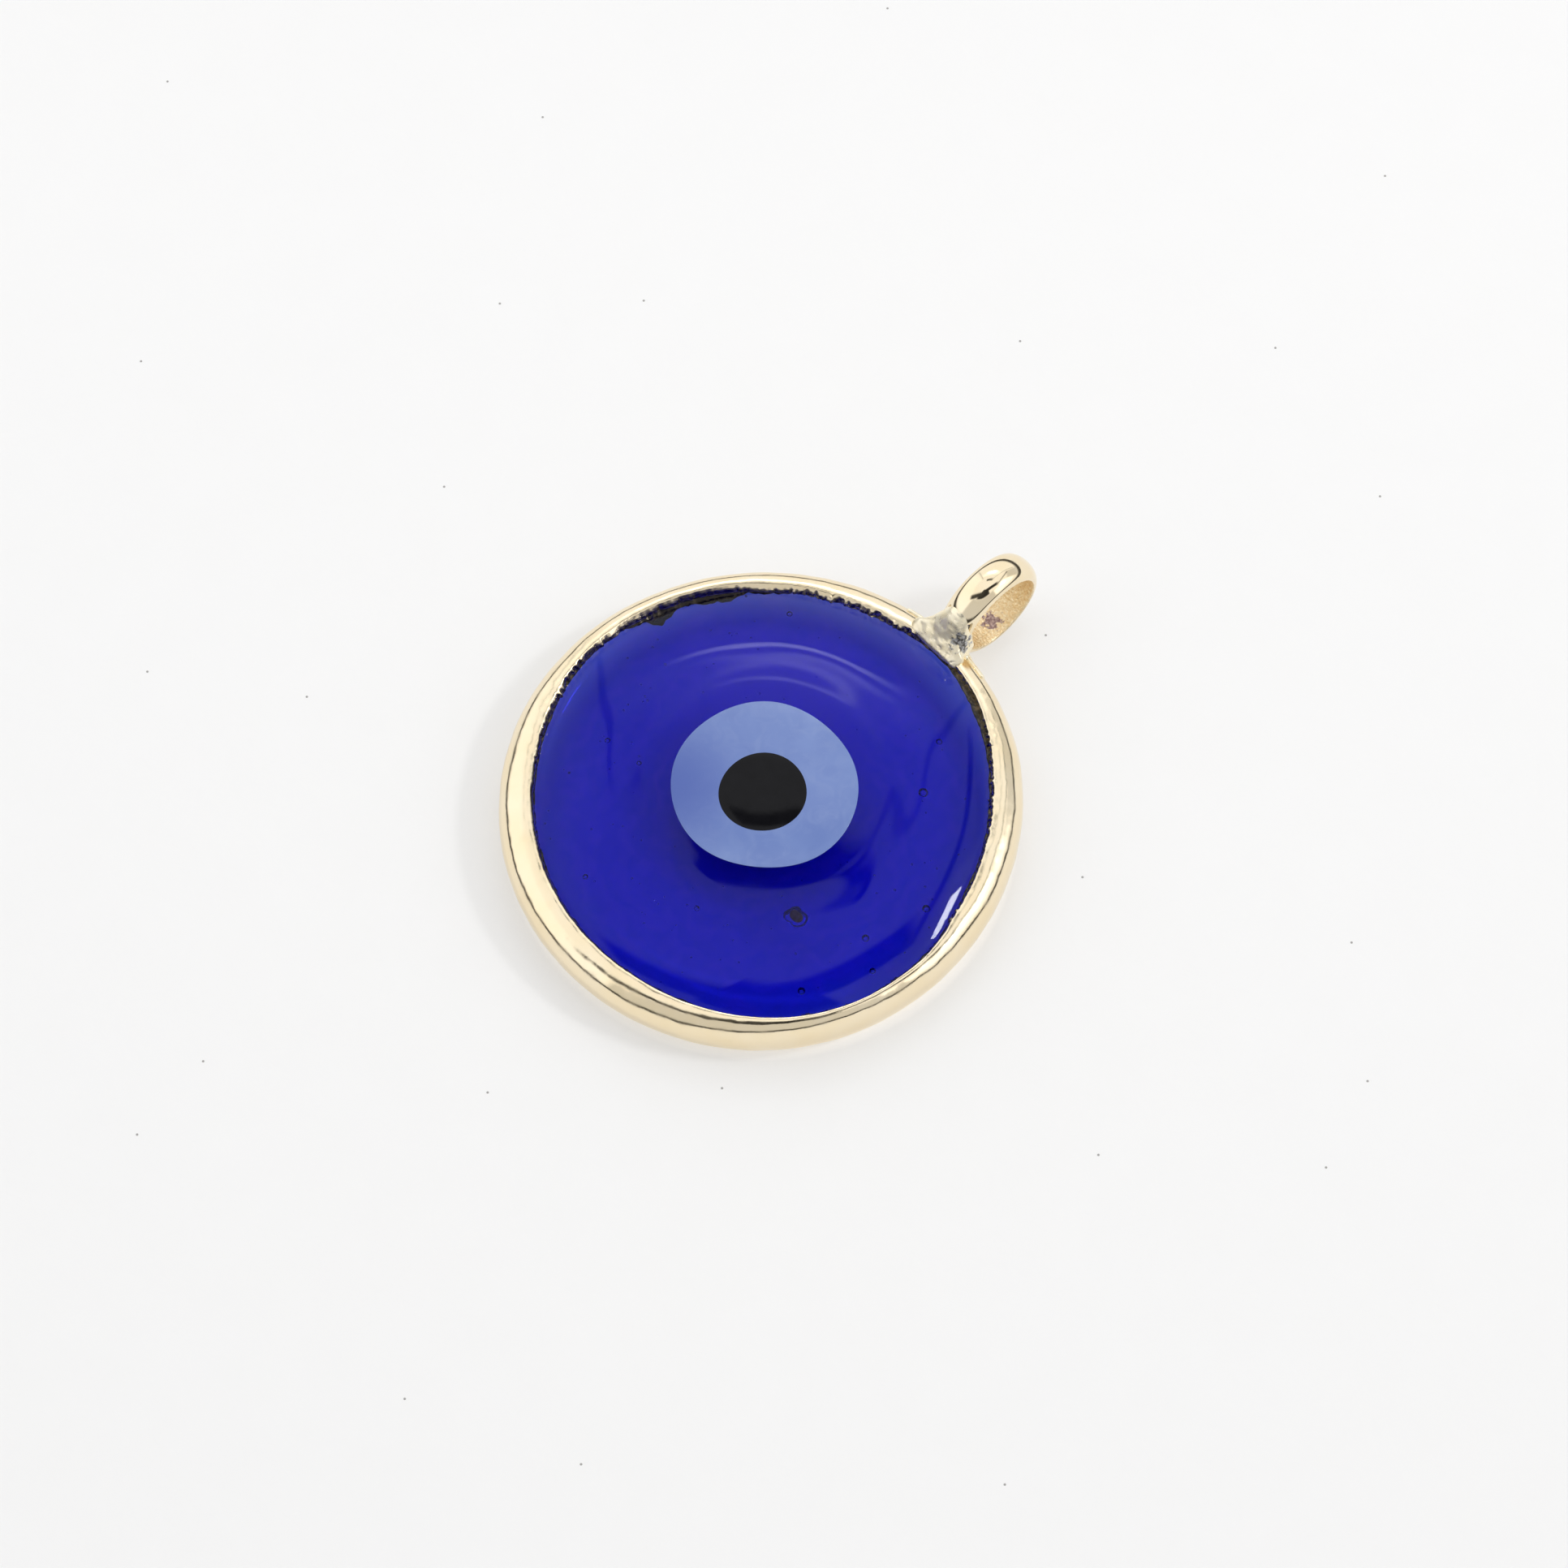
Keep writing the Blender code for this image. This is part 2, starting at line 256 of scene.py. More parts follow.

# Marks: the purple heart of the glass, the side of the pale dot with painted shade and the side of the paper
# with more painted glow (degrees round +Z from +X), the bare spot and the darker cracks of the neck, and the
# stained spot of the bore
GLASS_HEART_PLACE = (-3.2 * MM, 4.1 * MM, 0.0)
IRIS_SHADED_SIDE = 226.65
PAPER_PAINTED_GLOW_SIDE = 136.65
NECK_BARE_PLACE = (0.72 * MM, 11.05 * MM, 2.95 * MM)
NECK_BARE_RADIUS = 0.44 * MM
NECK_CRACKS_PLACE = (0.45 * MM, 10.95 * MM, 3.05 * MM)
NECK_CRACKS_RADIUS = 0.65 * MM
BORE_STAIN_SHIFT = (0.04 * MM, 0.17 * MM)
BORE_STAIN_HEIGHT = 0.58 * MM
BORE_STAIN_RADIUS = 0.36 * MM

# Camera and studio
CAMERA_AZIMUTH = math.radians(46.65)
CAMERA_ELEVATION = math.radians(64.6)
CAMERA_DISTANCE = 275.0 * MM
SENSOR_WIDTH = 24.0
LENS = 99.75
AIM_RIGHT = 0.983 * MM
AIM_UP = 1.075 * MM

LIGHT_DISTANCE = 0.6
PAPER_SIZE = 3.0
PAPER_DROP = 0.02 * MM
# Strength of the paper's painted glow, which lightens the shade round the charm, on its dim and bright sides
PAPER_GLOW_LOW = 0.33
PAPER_GLOW_HIGH = 0.372
DUST_SPACING = 13.0 * MM
DUST_SIZE = 0.005

# The studio's light tent as seen from the charm: name, azimuth from the camera's view direction to the
# right (lowest, highest), elevation (lowest, highest), softness of the border, brightness
TENT_LIGHT = 1.05
TENT_PATCHES = (
    ("left_wall", -124.0, -34.0, 14.0, 58.0, 10.0, 1.18),
    ("front_card", 126.0, 234.0, -5.0, 57.0, 10.0, 0.68),
    ("right_panel", 74.0, 126.0, 22.0, 52.0, 6.0, 1.5),
    ("side_gap", 44.0, 70.0, 12.0, 40.0, 4.0, 0.70),
    ("lamp_gap", -14.0, 32.0, 67.5, 73.0, 2.0, 0.05),
    ("camera_gap", 142.0, 218.0, 58.0, 83.0, 5.0, 0.03),
    ("skirt", -180.0, 180.0, -90.0, 10.0, 6.0, 0.06),
)

# Narrow bands of the tent, each along the shortest way between two directions: name, azimuth and elevation
# of both ends, half width, softness across, softness at the ends, brightness
TENT_BANDS = (
    ("glow", -24.0, 48.0, 34.0, 49.0, 4.5, 6.0, 16.0, 1.4),
    ("tube", -9.0, 46.0, 17.0, 46.5, 1.2, 1.6, 12.0, 6.0),
    ("second_tube", -4.0, 51.5, 16.0, 51.5, 0.9, 1.6, 10.0, 3.6),
    ("left_seam", -28.0, 18.0, -29.0, 60.0, 0.8, 1.0, 5.0, 0.50),
    ("right_seam", 24.0, 72.0, 42.0, 16.0, 0.8, 1.0, 5.0, 0.55),
    ("gap_over_right_panel", 180.0, 76.0, 84.0, 61.0, 5.5, 3.0, 8.0, 0.03),
    ("gap_beside_right_panel", 96.0, 62.0, 46.0, 36.0, 1.5, 2.0, 6.0, 0.20),
    ("left_gap", 180.0, 72.0, 252.0, 50.0, 6.0, 5.0, 8.0, 0.05),
)

# The one lamp, in the same terms as the patches: name, sides, elevations, brightness
KEY_LAMP = ("key_lamp", 83.0, 95.0, 42.0, 48.0, 27.0)
AREA_LIGHT_FACTOR = 4.0


# Small maths


def wave_height(waves, angle):
    return sum(height * MM * np.cos(count * (angle - math.radians(crest))) for count, height, crest in waves)


def outline_shift(radius, angle):
    lip = wave_height(LIP_WAVES, angle) + stretches(angle, LIP_STRETCHES)
    edge = wave_height(EDGE_WAVES, angle)
    inside = lip * np.minimum(1.0, radius / LIP_RADIUS) ** 2
    blend = np.clip((radius - LIP_RADIUS) / (EDGE_RADIUS - LIP_RADIUS), 0.0, 1.0)
    return inside + (edge - lip) * blend


def stretches(angle, lobes):
    """Smooth lobes round the disc: (direction in degrees, spread in degrees, height)."""
    total = np.zeros_like(angle)
    for direction, spread, height in lobes:
        away = np.degrees(np.abs(np.angle(np.exp(1j * (angle - math.radians(direction))))))
        total += height * np.exp(-((away / spread) ** 2))
    return total


def grain(points, size, seed=0.0, octaves=1):
    """Smooth noise in -1..1 at each point, with lumps of the given size."""
    flat = points.reshape(-1, 3) / size + seed * 7.31
    values = np.zeros(len(flat))
    weight = 1.0
    for octave in range(octaves):
        scaled = flat * 2.0**octave
        values += weight * np.fromiter((noise.noise(Vector(p)) for p in scaled), float, len(flat))
        weight *= 0.5
    return values.reshape(points.shape[:-1])


def ramp(value, low, high):
    share = np.clip((value - low) / (high - low), 0.0, 1.0)
    return share * share * (3.0 - 2.0 * share)


def glass_front(radius):
    share = np.clip(radius / GLASS_RADIUS, 0.0, 1.0)
    return WIDEST_HEIGHT + (GLASS_DOME_TOP - WIDEST_HEIGHT) * np.sqrt(1.0 - share**DOME_EXPONENT)


def glass_back(radius):
    share = np.clip((radius - GLASS_FLAT_RADIUS) / (GLASS_RADIUS - GLASS_FLAT_RADIUS), 0.0, 1.0)
    return BACK_LIFT + (WIDEST_HEIGHT - BACK_LIFT) * (1.0 - np.sqrt(1.0 - share**2))


def turned_columns(count):
    return np.linspace(0.0, 2.0 * math.pi, count, endpoint=False)


def disc_points(radius, height, angle):
    """Points of the round disc moved onto its hand-made outline."""
    shifted = radius + outline_shift(radius, angle)
    return np.stack([shifted * np.cos(angle), shifted * np.sin(angle), height], axis=-1)


def front_swell(x, y):
    """How far the poured front stands off its plain dome: soft swells, and ripples round the dots."""
    centre = dot_centre("iris_dot")
    from_iris = np.hypot(x - centre.x, y - centre.y)
    window = ramp(from_iris, RIPPLE_START, RIPPLE_START + 1.2 * MM)
    window *= 1.0 - ramp(from_iris, RIPPLE_END - 1.5 * MM, RIPPLE_END)
    ripple = RIPPLE_HEIGHT * window * np.cos(2.0 * math.pi * from_iris / RIPPLE_LENGTH)
    places = np.stack([x, y, np.zeros_like(x)], axis=-1)
    swell = SWELL_HEIGHT * grain(places, SWELL_SIZE, seed=3.0)
    edge = 1.0 - ramp(np.hypot(x, y), SWELL_FADE_START, SWELL_FADE_END)
    return (ripple * (1.0 + grain(places, 3.0 * MM, seed=5.0)) + swell) * edge


def front_height(x, y):
    """The glass front over a place on the disc."""
    radius = np.hypot(x, y)
    angle = np.arctan2(y, x)
    return glass_front(radius - outline_shift(radius, angle)) + front_swell(x, y)


def dot_centre(node):
    low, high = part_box(node)
    return (low + high) / 2


# Meshes


def new_object(name, data):
    item = bpy.data.objects.new(name, data)
    bpy.context.collection.objects.link(item)
    return item


def add_piece(name, points, faces, material, slot, *nodes):
    mesh = bpy.data.meshes.new(name)
    mesh.from_pydata(points, [], faces)
    mesh.validate()
    mesh.update()
    return finish_piece(name, mesh, material, slot, *nodes)


def finish_piece(name, mesh, material, slot, *nodes):
    mesh.shade_smooth()
    mesh.materials.clear()
    mesh.materials.append(material)
    piece = new_object(name, mesh)
    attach(piece, BODY)
    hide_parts(*nodes)
    return piece


def grid_faces(rows, columns, wrap_rows):
    """Quads of a grid whose columns go round. Rows run so that the faces point out."""
    faces = []
    for row in range(rows if wrap_rows else rows - 1):
        here = row * columns
        above = (row + 1) % rows * columns
        for column in range(columns):
            after = (column + 1) % columns
            faces.append((here + column, here + after, above + after, above + column))
    return faces


def capped_faces(rows, columns):
    """A grid closed by a fan at its first and last row. The two poles follow the grid's points."""
    faces = grid_faces(rows, columns, wrap_rows=False)
    first_pole = rows * columns
    last = (rows - 1) * columns
    for column in range(columns):
        after = (column + 1) % columns
        faces.append((after, column, first_pole))
        faces.append((last + column, last + after, first_pole + 1))
    return faces


def capped_points(grid):
    poles = [grid[0].mean(axis=0), grid[-1].mean(axis=0)]
    return np.concatenate([grid.reshape(-1, 3), poles])


def add_capped_piece(name, grid, *looks):
    return add_piece(name, capped_points(grid), capped_faces(*grid.shape[:2]), *looks)


def add_round_piece(name, grid, *looks):
    """A piece whose section, the grid's rows, is closed and goes round."""
    faces = grid_faces(*grid.shape[:2], wrap_rows=True)
    return add_piece(name, grid.reshape(-1, 3), faces, *looks)


# Glass


def make_glass(material):
    angle = turned_columns(DISC_COLUMNS)[None, :]
    back_share = np.concatenate([np.linspace(0.04, 0.84, 12), np.linspace(0.865, 0.995, 14)])
    back_radius = (GLASS_RADIUS * back_share)[:, None] + 0.0 * angle
    front_share = np.sin(np.linspace(math.pi / 2, 0.012, 110))
    front_radius = (GLASS_RADIUS * front_share)[:, None] + 0.0 * angle
    back = disc_points(back_radius, glass_back(back_radius), angle)
    front = disc_points(front_radius, glass_front(front_radius), angle)
    front[..., 2] += front_swell(front[..., 0], front[..., 1])
    grid = np.concatenate([back, front])
    points = [capped_points(grid)]
    faces = capped_faces(len(grid), DISC_COLUMNS)
    count = len(points[0])
    for centre, radius, squash, lobes in list_bubbles():
        bubble_points, bubble_faces = bubble_mesh(centre, radius, squash, lobes)
        faces += [tuple(index + count for index in face) for face in bubble_faces]
        points.append(bubble_points)
        count += len(bubble_points)
    all_points = np.concatenate(points)
    return add_piece("cobalt_glass_body", all_points, faces, material, "cobalt_glass", "glass_disc")


def bubble_mesh(centre, radius, squash, lobes):
    """A hollow in the glass: a closed skin whose faces point into the hollow."""
    ball = bmesh.new()
    bmesh.ops.create_icosphere(ball, subdivisions=3 if radius > 0.1 * MM else 2, radius=1.0)
    shape = np.array([vertex.co for vertex in ball.verts])
    faces = [tuple(vertex.index for vertex in reversed(face.verts)) for face in ball.faces]
    ball.free()
    if lobes > 0.0:
        shape *= (1.0 + lobes * grain(shape, 0.9, seed=2.0))[:, None]
    return np.array(centre) + shape * radius * np.array((1.0, 1.0, squash)), faces


def list_bubbles():
    bubbles = []
    for x, y, radius, depth in BUBBLES:
        bubbles.append(place_bubble(x * MM, y * MM, radius * MM, depth * MM, BUBBLE_SQUASH, 0.0))
    x, y, radius, depth = INCLUSION
    hollow = place_bubble(x * MM, y * MM, radius * MM, depth * MM, INCLUSION_SQUASH, INCLUSION_LOBES)
    bubbles.append(hollow)
    rng = random.Random(SPECK_SEED)
    iris = dot_centre("iris_dot")
    while len(bubbles) < len(BUBBLES) + 1 + SPECK_COUNT:
        radius = SPECK_REACH * math.sqrt(rng.random())
        angle = rng.uniform(0.0, 2.0 * math.pi)
        size = rng.uniform(*SPECK_SIZES) * MM
        depth = rng.uniform(*SPECK_DEPTHS) * MM
        x = radius * math.cos(angle)
        y = radius * math.sin(angle)
        if math.hypot(x - iris.x, y - iris.y) > DOTS_REACH:
            bubbles.append(place_bubble(x, y, size, depth, SPECK_SQUASH, 0.0))
    return bubbles


def place_bubble(x, y, radius, depth, squash, lobes):
    top = float(front_height(np.array([x]), np.array([y]))[0])
    return (x, y, max(top - depth, radius + 0.1 * MM)), radius, squash, lobes


def make_fleck(material):
    """The brown fleck caught in the largest hollow: a small bent flake."""
    (x, y, z), radius, _, _ = list_bubbles()[len(BUBBLES)]
    angle = turned_columns(FLECK_COLUMNS)[None, :]
    sheets = []
    for lift, shares in ((0.0, np.linspace(0.04, 1.0, 12)), (0.10, np.linspace(1.0, 0.04, 12))):
        share = shares[:, None]
        reach = radius * FLECK_SHARE * share
        across = reach * np.cos(angle)
        along = 0.75 * reach * np.sin(angle)
        height = radius * (0.45 * share**2 - 0.15 + lift) + 0.0 * angle
        sheets.append(np.stack([x + across, y + along, z + height], axis=-1))
    grid = np.concatenate(sheets)
    grid += 0.06 * radius * grain(grid, 0.5 * radius, seed=41.0)[..., None]
    return add_capped_piece("brown_fleck", grid, material, "black_glass", "glass_disc")


# Dots


def dot_grid(centre, outline, surface, rise, depth, rows):
    """A drop fused into a surface: a bowl below its rim and a shallow crown above it."""
    angle = turned_columns(DOT_COLUMNS)[None, :]
    grid = []
    for turn in np.linspace(math.pi / 2 * 0.97, 0.0, rows // 2):
        share = math.cos(turn)
        x = centre.x + outline * share * np.cos(angle)
        y = centre.y + outline * share * np.sin(angle)
        rim = surface(centre.x + outline * np.cos(angle), centre.y + outline * np.sin(angle))
        grid.append(np.stack([x, y, rim - depth * math.sin(turn)], axis=-1))
    for share in np.linspace(0.995, 0.03, rows):
        x = centre.x + outline * share * np.cos(angle)
        y = centre.y + outline * share * np.sin(angle)
        height = surface(x, y) + rise * (1.0 - share**4)
        grid.append(np.stack([x, y, height], axis=-1))
    return np.concatenate(grid)


def dot_outline(node, waves):
    low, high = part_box(node)
    radius = min(high.x - low.x, high.y - low.y) / 2
    return radius + wave_height(waves, turned_columns(DOT_COLUMNS))[None, :]


def iris_height(x, y):
    """The pale dot's crown, for the black dot to sit in."""
    centre = dot_centre("iris_dot")
    low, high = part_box("iris_dot")
    share = np.hypot(x - centre.x, y - centre.y) / ((high.x - low.x) / 2)
    return front_height(x, y) + IRIS_RISE * (1.0 - np.minimum(1.0, share) ** 4)


def make_dots(blue, black):
    outline = dot_outline("iris_dot", IRIS_WAVES)
    iris = dot_grid(dot_centre("iris_dot"), outline, front_height, IRIS_RISE, IRIS_DEPTH, 48)
    add_capped_piece("pale_blue_dot", iris, blue, "pale_blue_glass", "iris_dot")
    outline = dot_outline("pupil_dot", PUPIL_WAVES)
    pupil = dot_grid(dot_centre("pupil_dot"), outline, iris_height, PUPIL_RISE, PUPIL_DEPTH, 32)
    add_capped_piece("black_dot", pupil, black, "black_glass", "pupil_dot")


# Paint and metal edge


def glass_section(share, lip_radius, back_radius):
    """Glass outline from its back (share 0) round its widest point (share 1) to its front (share 2)."""
    rounding = GLASS_RADIUS - GLASS_FLAT_RADIUS
    back_turn = np.arccos(np.clip((back_radius - GLASS_FLAT_RADIUS) / rounding, -1, 1))
    front_turn = np.arccos(np.clip((lip_radius / GLASS_RADIUS) ** (DOME_EXPONENT / 2), 0.0, 1.0))
    turn = back_turn * (1.0 - np.minimum(share, 1.0))
    below = share < 1.0
    radius_below = GLASS_FLAT_RADIUS + rounding * np.cos(turn)
    height_below = BACK_LIFT + (WIDEST_HEIGHT - BACK_LIFT) * (1.0 - np.sin(turn))
    rise = front_turn * np.maximum(share - 1.0, 0.0)
    radius_above = GLASS_RADIUS * np.cos(rise) ** (2.0 / DOME_EXPONENT)
    height_above = WIDEST_HEIGHT + (GLASS_DOME_TOP - WIDEST_HEIGHT) * np.sin(rise)
    return np.where(below, radius_below, radius_above), np.where(below, height_below, height_above)


def push_out(radius, height, distance):
    """Moves a section (rows run back to front) outwards by a distance."""
    along_radius = np.gradient(radius, axis=0)
    along_height = np.gradient(height, axis=0)
    length = np.hypot(along_radius, along_height) + 1e-12
    return radius + distance * along_height / length, height - distance * along_radius / length


def lip_circle(angle):
    """Places round the lip, for noise that runs along it."""
    return np.stack([LIP_CIRCLE * np.cos(angle), LIP_CIRCLE * np.sin(angle), 0.0 * angle], axis=-1)


def make_paint(material):
    angle = turned_columns(PAINT_COLUMNS)[None, :]
    circle = lip_circle(angle)
    ragged = grain(circle, 0.45 * MM, seed=1.0, octaves=3)
    ragged_back = grain(circle, 1.1 * MM, seed=9.0, octaves=4)
    lip = PAINT_LIP_RADIUS - stretches(angle, PAINT_STRETCHES) + 0.05 * MM * ragged
    back = PAINT_BACK_RADIUS - stretches(angle, PAINT_BACK_STRETCHES) * (1.0 + 0.5 * ragged_back)
    share = np.linspace(0.0, 2.0, 26)[:, None] + 0.0 * angle
    radius, height = glass_section(share, lip, np.maximum(back, 9.02 * MM))
    taper = np.minimum(1.0, np.minimum(share, 2.0 - share) / 0.12)
    lumps = 1.0 + 0.5 * grain(np.repeat(circle, len(share), axis=0) + height[..., None], 0.2 * MM, seed=4.0)
    inner_radius, inner_height = push_out(radius, height, -PAINT_SINK)
    outer_radius, outer_height = push_out(radius, height, taper * PAINT_PROUD * lumps - 0.5 * PAINT_SINK)
    outside = disc_points(outer_radius, np.maximum(outer_height, 0.005 * MM), angle)
    inside = disc_points(inner_radius, np.maximum(inner_height, 0.02 * MM), angle)
    grid = np.concatenate([outside, inside[::-1]])
    return add_round_piece("dark_paint_band", grid, material, "conductive_paint", "base_coat")


def crumb_mask(angle):
    return np.clip(CRUMB_BASE + stretches(angle, CRUMB_STRETCHES), 0.0, 1.1)


def make_metal_edge(material):
    angle = turned_columns(LIP_COLUMNS)[None, :]
    circle = lip_circle(angle)
    crumbs = crumb_mask(angle)
    jagged = grain(circle, CRUMB_SIZE, seed=6.0, octaves=3) + grain(circle, 0.7 * MM, seed=7.0)
    lip = METAL_LIP_RADIUS - stretches(angle, METAL_LIP_STRETCHES)
    lip = np.minimum(lip + (LIP_RAGGED + LIP_RAGGED_BY_CRUMBS * crumbs) * jagged, METAL_LIP_LIMIT)

    # Outside, from the foot on the back to the crest on the front
    turn = np.linspace(-math.pi / 2, math.pi / 2, 44)[:, None] + 0.0 * angle
    half_height = np.where(turn > 0.0, CREST_HEIGHT - WIDEST_HEIGHT, WIDEST_HEIGHT)
    width = EDGE_RADIUS - CREST_RADIUS
    radius = CREST_RADIUS + width * np.maximum(0.0, np.cos(turn)) ** (2.0 / EDGE_EXPONENT)
    rise = np.sign(np.sin(turn)) * np.abs(np.sin(turn)) ** (2.0 / EDGE_EXPONENT)
    height = WIDEST_HEIGHT + rise * half_height

    # Down from the crest onto the glass, ending in a ragged rounded edge
    down = np.linspace(0.0, 1.0, 16)[1:, None] + 0.0 * angle
    lip_radius = CREST_RADIUS + (lip - CREST_RADIUS) * down
    lip_floor = glass_front(lip) + LIP_THICKNESS
    lip_height = lip_floor + (CREST_HEIGHT - lip_floor) * (1.0 - down**1.7) ** 0.8
    edge = np.linspace(0.0, 1.0, 5)[1:, None] + 0.0 * angle
    edge_radius = lip - 0.02 * MM * np.sin(edge * math.pi)
    edge_height = glass_front(lip) + LIP_THICKNESS * (1.0 - 1.4 * edge)
    front_radius = np.concatenate([radius, lip_radius, edge_radius])
    front_height_rows = np.concatenate([height, lip_height, edge_height])
    outside = disc_points(front_radius, front_height_rows, angle)

    # Hand-plated waviness everywhere, and crumbs towards the lip
    along = np.linspace(0.0, 1.0, len(outside))[:, None]
    lip_share = np.concatenate([0.0 * radius, down, 1.0 + 0.0 * edge]) * crumbs
    waviness = WAVINESS_HEIGHT * grain(outside, WAVINESS_SIZE, seed=8.0, octaves=3)
    crumb_rise = CRUMB_HEIGHT * np.maximum(0.0, grain(outside, CRUMB_SIZE, seed=12.0, octaves=2)) * lip_share
    pits = CRUMB_PIT_DEPTH * np.minimum(0.0, grain(outside, 0.25 * MM, seed=15.0)) * lip_share
    push = (waviness * (1.0 - np.abs(2.0 * along - 1.0) ** 6) + crumb_rise + pits)[..., None]
    outside += push * surface_normals(outside)
    outside[..., 2] = np.maximum(outside[..., 2], 0.0)

    # Inside, against the paint
    share = np.linspace(2.0, 0.0, 12)[:, None] + 0.0 * angle
    inner_radius, inner_height = glass_section(share, lip, 0.0 * angle + METAL_BACK_RADIUS)
    inner_radius = inner_radius + 0.015 * MM
    inside = disc_points(inner_radius, np.maximum(inner_height, 0.01 * MM), angle)
    grid = np.concatenate([outside, inside])
    return add_round_piece("gold_edge", grid, material, "gold_plated_edge", "gold_rim")


def surface_normals(grid):
    """Outward unit normals of a grid whose columns go round anticlockwise and rows run bottom to top."""
    along = np.roll(grid, -1, axis=1) - np.roll(grid, 1, axis=1)
    across = np.gradient(grid, axis=0)
    normal = np.cross(along, across)
    return normal / (np.linalg.norm(normal, axis=-1, keepdims=True) + 1e-15)


# Ring and neck


def ring_centre():
    """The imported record's bore mount lies on the ring's axis."""
    for mount in frame["record"]["mounts"]:
        if mount["name"] == "bail_bore":
            return Vector(mount["pos_m"])
    raise ValueError("the packed record has no bail_bore mount")


def ring_points(columns, rows, shrink=0.0):
    """The half-round ring: rows run round its section, columns round its axis."""
    centre = ring_centre()
    angle = turned_columns(columns)[None, :]
    shoulder = RING_BORE_RADIUS + RING_EDGE
    turn = np.linspace(-math.pi / 2, math.pi / 2, rows)[:, None] + 0.0 * angle
    radius = shoulder + (RING_WALL - RING_EDGE - shrink) * np.maximum(0.0, np.cos(turn))
    place = (RING_WIDTH / 2 - shrink) * np.sin(turn)
    bore_place = np.linspace(1.0, -1.0, rows // 2)[:, None] + 0.0 * angle
    corner = 0.05 * MM * np.abs(bore_place) ** 10
    bore_radius = RING_BORE_RADIUS + shrink + corner
    radius = np.concatenate([radius, bore_radius])
    place = np.concatenate([place, (RING_WIDTH / 2 - shrink) * 0.995 * bore_place])
    return np.stack(
        [centre.x + place, centre.y + radius * np.cos(angle), centre.z + radius * np.sin(angle)], axis=-1
    )


def make_ring(material):
    grid = ring_points(RING_COLUMNS, RING_ROWS)
    centre = ring_centre()
    from_axis = np.hypot(grid[..., 1] - centre.y, grid[..., 2] - centre.z)
    in_bore = 1.0 - ramp(from_axis, RING_BORE_RADIUS + 0.02 * MM, RING_BORE_RADIUS + 0.12 * MM)
    rough = 0.022 * MM * grain(grid, 0.17 * MM, seed=21.0, octaves=2) * in_bore
    wobble = 0.010 * MM * grain(grid, 1.5 * MM, seed=22.0)
    grid[..., 1] += (wobble - rough) * (grid[..., 1] - centre.y) / from_axis
    grid[..., 2] += (wobble - rough) * (grid[..., 2] - centre.z) / from_axis
    grid[..., 2] = np.maximum(grid[..., 2], 0.005 * MM)
    return add_round_piece("hanging_ring", grid, material, "gold_plated_ring", "bail_ring")


def add_mesh_part(shape, points, faces):
    verts = [shape.verts.new(point) for point in points]
    for face in faces:
        shape.faces.new([verts[index] for index in face])


def read_vertices(mesh, field):
    values = np.empty(len(mesh.vertices) * 3)
    mesh.vertices.foreach_get(field, values)
    return values.reshape(-1, 3)


def make_neck(material):
    """Solder lumps, a slice of the edge and a slice of the ring, melted together by a remesh."""
    shape = bmesh.new()
    for x, y, z, radius in SOLDER_LUMPS:
        lump = bmesh.ops.create_icosphere(shape, subdivisions=3, radius=radius)
        bmesh.ops.translate(shape, verts=lump["verts"], vec=(x, y, z))
    columns = 40
    angle = turned_columns(columns)
    loops = []
    for y, middle, half_width, low, high in SOLDER_CORE:
        x = middle + half_width * np.sign(np.cos(angle)) * np.abs(np.cos(angle)) ** 0.87
        z = (low + high) / 2 + (high - low) / 2 * np.sign(np.sin(angle)) * np.abs(np.sin(angle)) ** 0.87
        loops.append(np.stack([x, 0.0 * x + y, z], axis=-1))
    core = np.array(loops)
    faces = [face[::-1] for face in capped_faces(len(core), columns)]
    add_mesh_part(shape, capped_points(core), faces)

    slice_angle = np.radians(np.linspace(78.0, 102.0, 60))[None, :]
    turn = np.linspace(0.0, 2.0 * math.pi, 40, endpoint=False)[:, None]
    radius = SLICE_RADIUS + 0.0 * slice_angle + SLICE_HALF_WIDTH * np.cos(turn)
    height = WIDEST_HEIGHT + SLICE_HALF_HEIGHT * np.sin(turn) + 0.0 * slice_angle
    edge_slice = disc_points(radius, height, slice_angle + 0.0 * turn) / MM
    add_mesh_part(shape, *strip_mesh(edge_slice))

    ring = ring_points(200, 20, shrink=0.03 * MM) / MM
    kept = [column for column in range(200) if 110.0 < column * 1.8 < 225.0]
    add_mesh_part(shape, *strip_mesh(ring[:, kept]))

    mesh = bpy.data.meshes.new("solder")
    bmesh.ops.recalc_face_normals(shape, faces=shape.faces)
    shape.to_mesh(mesh)
    shape.free()
    solder = new_object("solder", mesh)
    remesh = solder.modifiers.new("melt", "REMESH")
    remesh.mode = "VOXEL"
    remesh.voxel_size = MELT_SIZE
    smooth = solder.modifiers.new("settle", "SMOOTH")
    smooth.factor = 0.5
    smooth.iterations = MELT_PASSES
    evaluated = solder.evaluated_get(bpy.context.evaluated_depsgraph_get())
    melted = bpy.data.meshes.new_from_object(evaluated)
    bpy.data.objects.remove(solder)
    points = read_vertices(melted, "co") * MM
    normals = read_vertices(melted, "normal")
    lumps = 0.018 * MM * grain(points, 0.45 * MM, seed=31.0, octaves=2)
    rough_side = ramp(points[:, 0], -0.4 * MM, 0.7 * MM)
    pits = 0.03 * MM * np.minimum(0.0, grain(points, 0.18 * MM, seed=33.0) + 0.25) * (0.2 + rough_side)
    points += (lumps + pits)[:, None] * normals
    points[:, 2] = np.maximum(points[:, 2], 0.02 * MM)
    melted.vertices.foreach_set("co", points.ravel())
    melted.update()
    return finish_piece("solder_neck", melted, material, "gold_plated_solder", "bail_neck")


